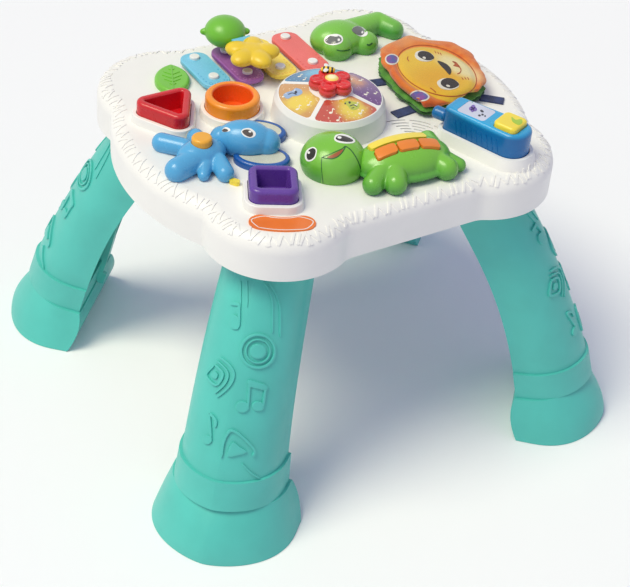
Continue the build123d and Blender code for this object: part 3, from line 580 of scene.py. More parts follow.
def modify(piece: bpy.types.Object, kind: str, **settings: object) -> bpy.types.Object:
    """Add a modifier, set it and apply it.

    Args:
        piece: Piece to change.
        kind: Blender's modifier type.
        settings: The modifier's attributes.

    Returns:
        The piece.
    """
    pick(piece)
    modifier = piece.modifiers.new(kind.title(), kind)
    for key, value in settings.items():
        setattr(modifier, key, value)
    bpy.ops.object.modifier_apply(modifier=modifier.name)
    return piece


def edit(piece: bpy.types.Object, *steps: Callable[[], object]) -> bpy.types.Object:
    """Run edit-mode steps on a whole selected mesh.

    Args:
        piece: Piece to change.
        steps: Calls to run in edit mode.

    Returns:
        The piece.
    """
    pick(piece)
    bpy.ops.object.mode_set(mode="EDIT")
    bpy.ops.mesh.select_all(action="SELECT")
    for step in steps:
        step()
    bpy.ops.object.mode_set(mode="OBJECT")
    return piece


def join(name: str, pieces: list[bpy.types.Object]) -> bpy.types.Object:
    """Join pieces into one mesh.

    Args:
        name: Name of the result.
        pieces: Pieces to join.

    Returns:
        The joined piece.
    """
    pick(*pieces)
    if len(pieces) > 1:
        bpy.ops.object.join()
    return put(name)


def polish(piece: bpy.types.Object, degrees: float = 40.0) -> bpy.types.Object:
    """Smooth shading that keeps edges sharper than an angle."""
    pick(piece)
    bpy.ops.object.shade_smooth_by_angle(angle=math.radians(degrees))
    return piece


def about(centre: Point, reach: float, angle: float) -> Point:
    """Point at a distance from a centre, at an angle in radians."""
    return (centre[0] + reach * math.cos(angle), centre[1] + reach * math.sin(angle))


def blob(centre: Place, radii: Place, turn: float = 0.0, tilt: float = 0.0) -> bpy.types.Object:
    """Ellipsoid, sizes in millimetres.

    Args:
        centre: Its middle.
        radii: Half sizes along its own axes.
        turn: Turn about Z in degrees.
        tilt: Turn about its own Y in degrees, before turn.

    Returns:
        The piece.
    """
    clear()
    bpy.ops.mesh.primitive_uv_sphere_add(segments=40, ring_count=24, radius=1.0)
    piece = put("blob")
    piece.matrix_world = (Matrix.Translation(Vector(centre) * MM) @ Matrix.Rotation(math.radians(turn), 4, "Z")
                          @ Matrix.Rotation(math.radians(tilt), 4, "Y")
                          @ Matrix.Diagonal((radii[0] * MM, radii[1] * MM, radii[2] * MM, 1.0)))
    return settle(piece)


def limb(start: Place, end: Place, first: float, last: float) -> bpy.types.Object:
    """Round-ended tapering limb.

    Args:
        start: Middle of the first end.
        end: Middle of the last end.
        first: Radius at the start.
        last: Radius at the end.

    Returns:
        The piece.
    """
    run = Vector(end) - Vector(start)
    clear()
    bpy.ops.mesh.primitive_cone_add(vertices=32, radius1=first * MM, radius2=last * MM, depth=run.length * MM)
    cone = put("limb")
    cone.matrix_world = (Matrix.Translation((Vector(start) + Vector(end)) / 2 * MM)
                         @ run.to_track_quat("Z", "Y").to_matrix().to_4x4())
    settle(cone)
    return join("limb", [cone, blob(start, (first,) * 3), blob(end, (last,) * 3)])


def cut_flat(piece: bpy.types.Object, level: float) -> bpy.types.Object:
    """Cut away what lies below a level and close the cut.

    Args:
        piece: Closed piece.
        level: Height in millimetres.

    Returns:
        The piece.
    """
    return edit(piece, lambda: bpy.ops.mesh.bisect(
        plane_co=(0.0, 0.0, level * MM), plane_no=UP, use_fill=True, clear_inner=True),
        lambda: bpy.ops.mesh.quads_convert_to_tris(ngon_method="BEAUTY"))


def fuse(name: str, pieces: list[bpy.types.Object], voxel: float = 1.0, rounds: int = 8,
         level: float = SEAT_Z) -> bpy.types.Object:
    """Melt overlapping closed pieces into one soft form that sits on a level.

    Args:
        name: Name of the result.
        pieces: Closed pieces that overlap.
        voxel: Mesh size in millimetres.
        rounds: Smoothing rounds.
        level: Height of the flat cut.

    Returns:
        The form.
    """
    form = join(name, pieces)
    modify(form, "REMESH", mode="VOXEL", voxel_size=voxel * MM)
    modify(form, "SMOOTH", factor=0.5, iterations=rounds)
    cut_flat(form, level)
    pick(form)
    bpy.ops.object.shade_smooth()
    return polish(form, 50.0)


# ---- stamps: thin shapes laid on a surface ---------------------------------
class Mark(Enum):
    """Kinds of stroke that a stamp is made of."""

    DISC = "disc"
    RING = "ring"
    BAR = "bar"
    TRACE = "trace"


@dataclass(frozen=True)
class Stroke:
    """One flat stroke; x and y in millimetres.

    size is the two radii of a disc, the outer radius and width of a ring, or the length and width of a bar. sides
    is the number of corners of discs and rings. points outline a trace.
    """

    mark: Mark
    x: float
    y: float
    size: Point
    turn: float = 0.0
    sides: int = 24
    points: tuple[Point, ...] = ()

    def draw(self) -> bpy.types.Object:
        """Model the stroke flat on XY with enough faces to follow a surface."""
        clear()
        if self.mark in (Mark.DISC, Mark.RING):
            piece = self.draw_round()
        elif self.mark is Mark.TRACE:
            piece = self.draw_trace()
        else:
            piece = self.draw_strip()
        piece.matrix_world = (Matrix.Translation((self.x * MM, self.y * MM, 0.0))
                              @ Matrix.Rotation(math.radians(self.turn), 4, "Z"))
        return settle(piece)

    def draw_round(self) -> bpy.types.Object:
        """A disc or a ring, with as many sides as asked."""
        if self.mark is Mark.DISC:
            bpy.ops.mesh.primitive_circle_add(vertices=self.sides, radius=1.0, fill_type="TRIFAN")
            piece = put("stroke")
            piece.scale = (self.size[0] * MM, self.size[1] * MM, 1.0)
            settle(piece)
            return edit(piece, lambda: bpy.ops.mesh.subdivide(number_cuts=2))
        outer, width = self.size
        bpy.ops.mesh.primitive_circle_add(vertices=self.sides, radius=outer * MM, fill_type="NOTHING")
        piece = put("stroke")
        inner = (outer - width) / outer
        edit(piece, bpy.ops.mesh.extrude_edges_move, lambda: bpy.ops.transform.resize(value=(inner, inner, 1.0)),
             lambda: bpy.ops.mesh.select_all(action="SELECT"),
             lambda: bpy.ops.mesh.subdivide(number_cuts=1 if self.sides > 8 else 5),
             lambda: bpy.ops.mesh.normals_make_consistent(inside=False))
        if piece.data.polygons[0].normal.z < 0:
            edit(piece, bpy.ops.mesh.flip_normals)
        return piece

    def draw_trace(self) -> bpy.types.Object:
        """An outline run out from its first point and filled."""
        bpy.ops.mesh.primitive_plane_add(size=MM)
        piece = put("stroke")

        def run_out() -> None:
            """Merge the plane to one point and extrude it along the outline."""
            bpy.ops.mesh.merge(type="CENTER")
            bpy.ops.transform.translate(value=(self.points[0][0] * MM, self.points[0][1] * MM, 0.0))
            for before, after in zip(self.points, self.points[1:]):
                move = ((after[0] - before[0]) * MM, (after[1] - before[1]) * MM, 0.0)
                bpy.ops.mesh.extrude_region_move(TRANSFORM_OT_translate={"value": move})
        edit(piece, run_out, lambda: bpy.ops.mesh.select_all(action="SELECT"), bpy.ops.mesh.edge_face_add,
             lambda: bpy.ops.mesh.quads_convert_to_tris(ngon_method="BEAUTY"),
             lambda: bpy.ops.mesh.subdivide(number_cuts=2))
        if piece.data.polygons[0].normal.z < 0:
            edit(piece, bpy.ops.mesh.flip_normals)
        return piece

    def draw_strip(self) -> bpy.types.Object:
        """A straight strip."""
        length, width = self.size
        cuts = max(2, int(length / 1.2))
        bpy.ops.mesh.primitive_grid_add(x_subdivisions=cuts, y_subdivisions=2, size=1.0)
        piece = put("stroke")
        piece.scale = (length * MM, width * MM, 1.0)
        return settle(piece)


@dataclass(frozen=True)
class Stamp:
    """Strokes laid on a surface along a direction, as a raised or printed shape."""

    strokes: tuple[Stroke, ...]
    height: float = 0.25
    sink: float = 0.15
    round_over: float = 0.0

    def press(self, name: str, target: bpy.types.Object, spot: Place, outward: Place = UP, turn: float = 0.0,
              scale: float = 1.0) -> bpy.types.Object:
        """Lay the stamp on a target.

        Args:
            name: Name of the piece.
            target: Piece whose surface it follows.
            spot: Point above the surface, in millimetres.
            outward: Direction away from the surface.
            turn: Turn about that direction in degrees.
            scale: Size factor.

        Returns:
            The finished piece.
        """
        piece = join(name, [stroke.draw() for stroke in self.strokes])
        axis = Vector(outward).normalized()
        if abs(axis.z) > 0.9:
            side = Vector((1.0, 0.0, 0.0))
        else:
            side = Vector(UP).cross(axis).normalized()
        side = (side - axis * side.dot(axis)).normalized()
        frame_axes = Matrix((side, axis.cross(side), axis)).transposed().to_4x4()
        piece.matrix_world = (Matrix.Translation(Vector(spot) * MM) @ frame_axes
                              @ Matrix.Rotation(math.radians(turn), 4, "Z") @ Matrix.Scale(scale, 4))
        modify(piece, "SHRINKWRAP", wrap_method="PROJECT", use_project_z=True, use_positive_direction=False,
               use_negative_direction=True, target=target, offset=-self.sink * MM)
        self.drop_missed(piece)
        settle(piece)
        modify(piece, "SOLIDIFY", thickness=(self.height + self.sink) * MM, offset=1.0)
        if self.round_over:
            modify(piece, "BEVEL", width=self.round_over * MM, segments=2, limit_method="ANGLE")
        return polish(piece, 35.0)

    def look(self, name: str, target: bpy.types.Object, spot: Place) -> bpy.types.Object:
        """Lay the stamp on a target along the line of sight through a spot.

        Args:
            name: Name of the piece.
            target: Piece whose surface it follows.
            spot: Point near the surface, in millimetres.

        Returns:
            The finished piece.
        """
        outward = (Vector(STAND) - Vector(spot)).normalized()
        return self.press(name, target, tuple(Vector(spot) + outward * 90.0), tuple(outward))

    @staticmethod
    def drop_missed(piece: bpy.types.Object) -> None:
        """Drop the corners of a stroke that lie beside the target."""
        missed = [vertex.index for vertex in piece.data.vertices if abs(vertex.co.z) < 1e-7]
        if missed:
            edit(piece, lambda: bpy.ops.mesh.select_all(action="DESELECT"))
            for index in missed:
                piece.data.vertices[index].select = True
            pick(piece)
            bpy.ops.object.mode_set(mode="EDIT")
            bpy.ops.mesh.delete(type="VERT")
            bpy.ops.object.mode_set(mode="OBJECT")


def smooth(points: tuple[Point, ...], closed: bool, steps: int = 4) -> list[Vector]:
    """Points along a smooth curve through some points.

    Args:
        points: Points of the curve.
        closed: Whether it returns to the first.
        steps: Points made for each one given.

    Returns:
        The finer points.
    """
    count = len(points)

    def at(index: int) -> Vector:
        """A given point, by its number."""
        return Vector(points[index % count] if closed else points[min(max(index, 0), count - 1)])
    result = []
    for index in range(count if closed else count - 1):
        a, b, c, d = (at(index + shift) for shift in (-1, 0, 1, 2))
        for step in range(steps):
            t = step / steps
            result.append(0.5 * (2 * b + (c - a) * t + (2 * a - 5 * b + 4 * c - d) * t * t
                                 + (3 * b - a - 3 * c + d) * t ** 3))
    return result if closed else [*result, at(count - 1)]


def shape(*points: Point) -> Stroke:
    """Filled smooth outline through some points."""
    return Stroke(Mark.TRACE, 0.0, 0.0, (0.0, 0.0), points=tuple(tuple(spot) for spot in smooth(points, True, 3)))


def line(width: float, *points: Point) -> Stroke:
    """Smooth line of one width through some points, narrower at its ends."""
    path = smooth(points, False)
    sides: tuple[list[Point], list[Point]] = ([], [])
    for index, spot in enumerate(path):
        along = (path[min(index + 1, len(path) - 1)] - path[max(index - 1, 0)]).normalized()
        reach = width * (0.25 if index in (0, len(path) - 1) else 0.5)
        for side, edge in zip((1.0, -1.0), sides):
            edge.append((spot.x - side * reach * along.y, spot.y + side * reach * along.x))
    return Stroke(Mark.TRACE, 0.0, 0.0, (0.0, 0.0), points=tuple(sides[0] + sides[1][::-1]))


def disc(x: float, y: float, rx: float, ry: float | None = None, turn: float = 0.0, sides: int = 24) -> Stroke:
    """Disc stroke."""
    return Stroke(Mark.DISC, x, y, (rx, ry or rx), turn, sides)


def ring(x: float, y: float, outer: float, width: float, turn: float = 0.0, sides: int = 28) -> Stroke:
    """Ring stroke."""
    return Stroke(Mark.RING, x, y, (outer, width), turn, sides)


def bar(x: float, y: float, length: float, width: float, turn: float = 0.0) -> Stroke:
    """Straight stroke."""
    return Stroke(Mark.BAR, x, y, (length, width), turn)


NOTE = (disc(-2.6, -7.0, 4.4, 3.4, 20.0), bar(1.2, 0.5, 15.0, 1.9, 90.0), bar(3.6, 6.6, 6.0, 2.6, -28.0))
CHEVRON = (bar(-2.9, 0.0, 14.0, 2.6, 62.0), bar(2.9, 0.0, 14.0, 2.6, -62.0))
DASHES = (bar(-2.8, 0.0, 12.0, 2.4, 78.0), bar(2.8, 0.0, 12.0, 2.4, 78.0))


# ---- the table's shell and legs --------------------------------------------
@dataclass
class Shell:
    """White lobed top, underside and inner pieces."""

    def build(self) -> None:
        """Put finishes on the shell's nodes."""
        for finish, *nodes in ((WHITE_SHELL, "table_top", "dome_ring"), (TRAY, "base_tray", "battery_door"),
                               (BATTERY, "batteries"), (SCREW, "tray_screws"), (SPEAKER, "speaker_driver"),
                               (BOARD, "circuit_board", "lamp_board"),
                               (RUBBER, "return_pad_red", "return_pad_orange", "return_pad_purple")):
            WARDROBE.dress_nodes(finish, *nodes)


class RimPath:
    """Outline of the rim as a closed path by length, read from the shell."""

    def __init__(self) -> None:
        """Collect the rim's lower edge in order round the table."""
        mesh = bpy.data.objects["table_top"].data
        level = RIM_Z * MM
        ring_points = {}
        for vertex in mesh.vertices:
            spot = vertex.co
            if abs(spot.z - level) < 0.0002 and spot.xy.length > 0.15:
                angle = math.atan2(spot.y, spot.x)
                key = round(angle, 3)
                if key not in ring_points or ring_points[key].length < spot.xy.length:
                    ring_points[key] = spot.xy.copy()
        self.points = [ring_points[key] for key in sorted(ring_points)]
        self.marks = [0.0]
        for first, second in zip(self.points, self.points[1:] + self.points[:1]):
            self.marks.append(self.marks[-1] + (second - first).length)

    def at(self, length: float) -> tuple[Vector, Vector]:
        """Point and outward normal at a length along the rim.

        Args:
            length: Metres from the start.

        Returns:
            The point and the normal in plan.
        """
        def locate(value: float) -> Vector:
            """Point at a length."""
            value %= self.marks[-1]
            for index in range(len(self.points)):
                if value <= self.marks[index + 1]:
                    break
            share = (value - self.marks[index]) / max(1e-9, self.marks[index + 1] - self.marks[index])
            return self.points[index].lerp(self.points[(index + 1) % len(self.points)], share)
        before, after = locate(length - 0.006), locate(length + 0.006)
        along = (after - before).normalized()
        return locate(length), Vector((along.y, -along.x))


@dataclass
class RimRelief:
    """Raised marks along the rounded band of the rim."""

    pitch: float = 15.0
    inset: float = 9.0
    lean: float = 40.0
    lift: float = 14.0
    drop: float = 4.0

    def build(self) -> None:
        """Stamp the marks round the rim."""
        path = RimPath()
        total = path.marks[-1] / MM
        count = int(total / self.pitch)
        shell = bpy.data.objects["table_top"]
        lean = math.radians(self.lean)
        marks = []
        for index in range(count):
            edge, normal = path.at(index * total / count * MM)
            spot = edge - normal * self.inset * MM
            outward = (normal.x * math.sin(lean), normal.y * math.sin(lean), math.cos(lean))
            place = (spot.x / MM + outward[0] * self.lift, spot.y / MM + outward[1] * self.lift,
                     TOP_Z - self.drop + outward[2] * self.lift)
            stamp = Stamp(CHEVRON if index % 4 != 3 else DASHES, 0.9, 0.3)
            marks.append(stamp.press("rim_mark", shell, place, outward))
        finish_piece(join("rim_relief", marks), "table", "white_shell", WHITE_SHELL)


@dataclass
class Legs:
    """Four splayed half-tube legs with raised musical marks.

    The marks are modelled on the front left leg, as they are seen there, and copied round to the others. Each
    entry has a spot on that leg, a height in millimetres and strokes across the line of sight.
    """

    angles: dict[str, float] = field(default_factory=lambda: {
        "front_left": 223.0, "front_right": -43.0, "back_left": 137.0, "back_right": 43.0})
    marks: tuple[tuple[Place, float, tuple[Stroke, ...]], ...] = (
        ((-188.0, -160.0, 240.0), 2.0, (
            shape((-6.2, -6.2), (-3.5, -0.6), (1.5, -1.9), (4.8, -7.6), (3.2, -14.2), (-1.7, -14.9), (-5.4, -11.6)),
            line(2.4, (3.8, -8.6), (2.8, 11.1)), line(3.4, (-5.8, 10.2), (3.9, 9.7)))),
        ((-180.0, -193.0, 214.0), 2.2, (ring(-0.8, 0.3, 17.6, 2.6, sides=40), ring(-0.8, 0.3, 12.4, 1.6, sides=36),
                                        disc(-0.8, 0.3, 8.0, 7.4))),
        ((-217.0, -175.0, 183.0), 2.0, (
            line(2.2, (-0.3, 10.5), (8.1, 1.4), (1.7, -9.9), (-8.3, -0.3), (-0.8, 10.0)),
            shape((0.0, 4.0), (3.2, 0.7), (1.2, -3.9), (-3.3, -0.1)),
            line(2.0, (4.3, 18.2), (14.7, 9.7), (18.6, 1.3), (14.6, -10.3), (3.2, -21.8)),
            line(1.6, (1.0, 15.0), (9.8, 7.4), (13.1, 0.6), (10.1, -8.5), (1.0, -17.9)))),
        ((-194.0, -208.0, 172.0), 2.0, (
            shape((-4.0, 16.5), (5.0, 14.6), (14.2, 12.1), (14.0, 7.1), (5.0, 8.6), (-3.6, 10.5)),
            line(2.4, (-2.9, 15.0), (-3.1, -11.0)), line(2.4, (13.0, 10.1), (11.7, -9.5)),
            disc(-8.6, -10.6, 6.6, 5.6), disc(6.6, -9.0, 6.0, 4.8))),
        ((-232.0, -196.0, 135.0), 2.0, (disc(-1.8, -11.6, 4.6, 4.4), line(2.2, (1.8, -11.0), (-1.0, 15.4)),
                                        line(2.4, (-1.0, 15.4), (5.4, 8.2), (5.2, 1.2)))),
        ((-216.0, -220.0, 124.0), 2.2, (
            line(2.6, (-13.6, -11.8), (-12.0, 4.2), (-7.1, 14.5), (-0.6, 14.3), (9.9, 6.4), (18.5, -3.1),
                 (17.3, -9.2)),
            shape((-7.7, -10.0), (-6.2, -1.0), (-2.5, 4.2), (4.3, -0.4), (11.0, -4.5), (2.7, -8.5)),
            line(1.6, (7.2, -16.7), (15.7, -25.2), (25.1, -30.7)))),
        ((-170.0, -170.0, 249.0), 1.2, (
            line(1.7, (-18.3, 25.3), (-16.5, -2.3)), line(1.7, (-11.9, 25.7), (-10.2, 0.0)),
            line(1.7, (4.0, 25.7), (9.9, 17.2), (13.7, 5.5), (15.6, -24.0)),
            line(1.7, (8.9, 25.0), (16.0, 15.6), (21.4, 1.1), (23.7, -27.5)))))

    def build(self) -> None:
        """Dress the legs, model the relief once and copy it."""
        first = next(iter(self.angles))
        node = bpy.data.objects["leg_" + first]
        pieces = [Stamp(strokes, height, 0.4, 0.5).look("leg_mark", node, spot)
                  for spot, height, strokes in self.marks]
        relief = join("leg_relief_" + first, pieces)
        for name, angle in self.angles.items():
            WARDROBE.dress_nodes(TEAL, "leg_" + name)
            if name != first:
                pick(relief)
                bpy.ops.object.duplicate()
                copy = put("leg_relief_" + name)
                copy.rotation_euler = (0.0, 0.0, math.radians(angle - self.angles[first]))
                finish_piece(settle(copy), "table", "teal_leg", TEAL)
        finish_piece(relief, "table", "teal_leg", TEAL)


# ---- play pieces -----------------------------------------------------------
def lay(name: str, target: bpy.types.Object, spot: Place, body: str, slot_name: str,
        *layers: tuple[str, tuple[Stroke, ...], float, object]) -> None:
    """Lay layers of strokes on a face along the line of sight.

    Args:
        name: Start of the pieces' names.
        target: Face they lie on.
        spot: Point near the face, in millimetres.
        body: Body they ride on.
        slot_name: Material slot in the record.
        layers: Ending of the name, strokes, height in millimetres and finish of each layer.
    """
    for ending, strokes, height, finish in layers:
        piece = Stamp(strokes, height).look(name + "_" + ending, target, spot)
        finish_piece(piece, body, slot_name, finish)


@dataclass(frozen=True)
class Striped:
    """Moulded plastic painted in bands across one direction."""

    name: str
    first: Colour
    second: Colour
    centre: Place
    turn: float
    pitch: float

    def make(self) -> bpy.types.Material:
        """Build the node material."""
        paint = Paint(self.name)
        x, _, _ = paint.axes(self.centre, self.turn)
        band = (x * (2.0 * math.pi / self.pitch)).sine().step(-0.15, 0.15)
        return paint.close(Base_Color=paint.mix(band, self.first, self.second),
                           Roughness=0.28 + paint.noise(6.0) * 0.1, Normal=paint.bump(paint.noise(0.9), 0.04))


def finish_piece(piece: bpy.types.Object, body: str, slot_name: str, finish: object, *nodes: str) -> None:
    """Dress a finished piece, set its body and hide the nodes of the frame that it replaces.

    Args:
        piece: The finished piece.
        body: Body it rides on.
        slot_name: Material slot in the record; not used.
        finish: Its finish.
        nodes: Nodes of the frame that it replaces.
    """
    WARDROBE.dress(piece, finish)
    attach(piece, body)
    if nodes:
        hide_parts(*nodes)


def pocket(form: bpy.types.Object, cutter: bpy.types.Object) -> None:
    """Cut one closed shape out of a form and drop the cutter."""
    modify(form, "BOOLEAN", operation="DIFFERENCE", solver="EXACT", object=cutter)
    bpy.data.objects.remove(cutter, do_unlink=True)


def block(centre: Place, size: Place, turn: float = 0.0, corner: float = 0.0) -> bpy.types.Object:
    """Box with rounded upright corners, for cutting and trim.

    Args:
        centre: Its middle, in millimetres.
        size: Its sides.
        turn: Turn about Z in degrees.
        corner: Radius of the upright corners.

    Returns:
        The box.
    """
    clear()
    bpy.ops.mesh.primitive_cube_add(size=1.0)
    piece = put("block")
    piece.scale = (size[0] * MM, size[1] * MM, size[2] * MM)
    settle(piece)
    if corner:
        pick(piece)
        bpy.ops.object.mode_set(mode="EDIT")
        bpy.ops.mesh.select_all(action="DESELECT")
        bpy.ops.object.mode_set(mode="OBJECT")
        for edge in piece.data.edges:
            first, second = (piece.data.vertices[index].co for index in edge.vertices)
            edge.select = abs(first.z - second.z) > 0.5 * size[2] * MM
        bpy.ops.object.mode_set(mode="EDIT")
        bpy.ops.mesh.bevel(offset=corner * MM, segments=5, affect="EDGES")
        bpy.ops.object.mode_set(mode="OBJECT")
    piece.matrix_world = Matrix.Translation(Vector(centre) * MM) @ Matrix.Rotation(math.radians(turn), 4, "Z")
    return settle(piece)


@dataclass
class LightDome:
    """Light dome with printed windows, and the spinning flower with its bee."""

    centre: Point = (-1.0, -12.0)
    flower_z: float = 373.6
    petal_reach: float = 14.4
    petal_r: float = 9.6
    petal_half: float = 7.0
    turn: float = 224.0
    bee_petal: int = 3
    bee_turn: float = -35.0

    def flower(self) -> None:
        """Five puffy petals with a raised lip each, round a yellow button."""
        cx, cy = self.centre
        forms = [blob((cx, cy, self.flower_z + 4.0), (12.0, 12.0, 6.0))]
        for index in range(5):
            angle = math.radians(self.turn + FIFTH * index)
            x, y = about(self.centre, self.petal_reach, angle)
            forms.append(blob((x, y, self.flower_z + 3.6), (self.petal_r, self.petal_r, self.petal_half)))
            clear()
            bpy.ops.mesh.primitive_torus_add(location=(x * MM, y * MM, (self.flower_z + 8.8) * MM),
                                             major_radius=6.6 * MM, minor_radius=2.2 * MM)
            forms.append(settle(put("lip")))
        petals = fuse("flower_form", forms, 0.7, 3, self.flower_z)
        finish_piece(petals, "flower", "flower_red", RED_FLOWER, "flower_petals")
        clear()
        bpy.ops.mesh.primitive_torus_add(location=(cx * MM, cy * MM, (self.flower_z + 10.4) * MM),
                                         major_radius=8.4 * MM, minor_radius=1.7 * MM)
        collar = settle(put("flower_collar"))
        polish(collar, 80.0)
        finish_piece(collar, "flower", "flower_red", RED_FLOWER)
        button = fuse("flower_button", [blob((cx, cy, self.flower_z + 9.0), (8.6, 8.6, 4.6))], 0.5, 2,
                      self.flower_z + 7.0)
        finish_piece(button, "flower", "soft_yellow", Moulded(
            "flower_button", srgb(250, 214, 96), roughness=0.2,
            zones=(Zone((cx, cy, self.flower_z + 13.6), (4.8, 4.8, 3.0), srgb(255, 244, 190), soft=0.5),)),
            "flower_centre")

    def bee(self) -> None:
        """Striped bee with two wings, sitting on a petal."""
        angle = math.radians(self.turn + FIFTH * self.bee_petal)
        x, y = about(self.centre, self.petal_reach, angle)
        seat = self.flower_z + 9.6
        along = about((0.0, 0.0), 1.0, math.radians(self.bee_turn))
        body = fuse("bee_form", [blob((x, y, seat + 3.2), (6.6, 4.2, 3.9), self.bee_turn),
                                 blob((x + 5.4 * along[0], y + 5.4 * along[1], seat + 3.4), (3.4, 3.4, 3.3))],
                    0.45, 2, seat - 0.4)
        finish_piece(body, "flower", "bee_trim", Striped(
            "bee_stripes", srgb(252, 206, 50), srgb(30, 24, 22), (x, y, 0.0), self.bee_turn, 4.4), "bee")
        for side in (-1.0, 1.0):
            wx, wy = x - 1.0 * along[0] - side * 4.6 * along[1], y - 1.0 * along[1] + side * 4.6 * along[0]
            wing = polish(blob((wx, wy, seat + 5.6), (2.6, 4.4, 0.7), self.bee_turn + side * 18.0), 60.0)
            wing.name = "bee_wing_left" if side > 0 else "bee_wing_right"
            finish_piece(wing, "flower", "peg_white", PEG_WHITE)

    def pictures(self) -> None:
        """Small generic prints on the four windows."""
        seen: Place = (-3.0, -15.0, 366.0)
        amber, red = (bpy.data.objects["dome_lens_" + colour] for colour in ("amber", "red"))
        lay("dome_print_amber", amber, seen, "table", "peg_white",
            ("blot", (shape((-48.9, -4.1), (-45.5, -1.1), (-40.4, 0.8), (-36.5, 4.1), (-30.5, 2.7), (-29.3, -0.7),
                            (-33.7, -3.8), (-38.9, -4.7), (-42.8, -7.4), (-46.6, -7.1)),), 0.12,
             Moulded("print_blue", srgb(150, 176, 212), roughness=0.2)),
            ("spot", (disc(-36.1, -0.3, 1.5), line(0.8, (-44.0, -3.4), (-39.6, -1.4), (-35.0, -2.8))),
             0.2, PRINT_NAVY))
        lay("dome_print_red", red, seen, "table", "peg_white",
            ("leaf", (shape((15.1, -6.8), (17.5, -4.5), (23.4, -4.6), (30.2, -6.1), (31.2, -9.6), (27.3, -12.9),
                            (22.5, -12.9), (19.1, -9.6)),), 0.12,
             Moulded("print_lime", srgb(190, 200, 84), roughness=0.2)),
            ("spot", (disc(20.7, -5.9, 1.2), disc(16.2, -7.3, 0.8),
                      line(0.8, (21.0, -9.6), (25.0, -8.0), (29.0, -9.4)),
                      line(0.7, (23.0, -11.6), (26.0, -10.6))), 0.2, PRINT_NAVY))
        for node, degrees in (("dome_lens_amber", 173.0), ("dome_lens_red", 263.0), ("dome_lens_purple", 353.0),
                              ("dome_lens_blue", 83.0)):
            lens = bpy.data.objects[node]
            for number, (shift, reach, size) in enumerate(((-22.0, 38.0, 0.42), (20.0, 46.0, 0.42),
                                                           (27.0, 35.0, 0.36), (-14.0, 49.0, 0.36))):
                spot = (*about(self.centre, reach, math.radians(degrees + shift)), OVER_DOME)
                note = Stamp(NOTE, 0.12, 0.1).press("%s_note_%d" % (node, number), lens, spot, UP, NOTE_TURN, size)
                finish_piece(note, "table", "peg_white", PRINT_PALE)

    def build(self) -> None:
        """Dress the dome and make the flower, the bee and the prints."""
        for node, finish in LENSES.items():
            WARDROBE.dress_nodes(finish, node)
        WARDROBE.dress_nodes(SCREW, "flower_shaft")
        self.flower()
        self.bee()
        self.pictures()


@dataclass
class Buttons:
    """Shape cups, belly button and the shell keys of the turtle."""

    def build(self) -> None:
        """Dress the buttons and print the bottoms of the bowls."""
        for finish, *nodes in ((RED_CUP, "cup_red"), (ORANGE_CUP, "cup_orange"), (PURPLE_CUP, "cup_purple"),
                               (BELLY, "belly_button"), (YELLOW, "turtle_key_yellow", "phone_key"),
                               (KEY_ORANGE, *("turtle_key_orange_" + letter for letter in "abc"))):
            WARDROBE.dress_nodes(finish, *nodes)
        for node, spot in (("cup_red", (-157.0, 50.0, OVER)), ("cup_orange", (-90.0, 36.0, OVER)),
                           ("cup_purple", (-129.0, -119.0, OVER))):
            picture = Stamp(NOTE, 0.35).press(node + "_note", bpy.data.objects[node], spot, UP, NOTE_TURN, 0.62)
            finish_piece(picture, node, "peg_white", PRINT_PALE)


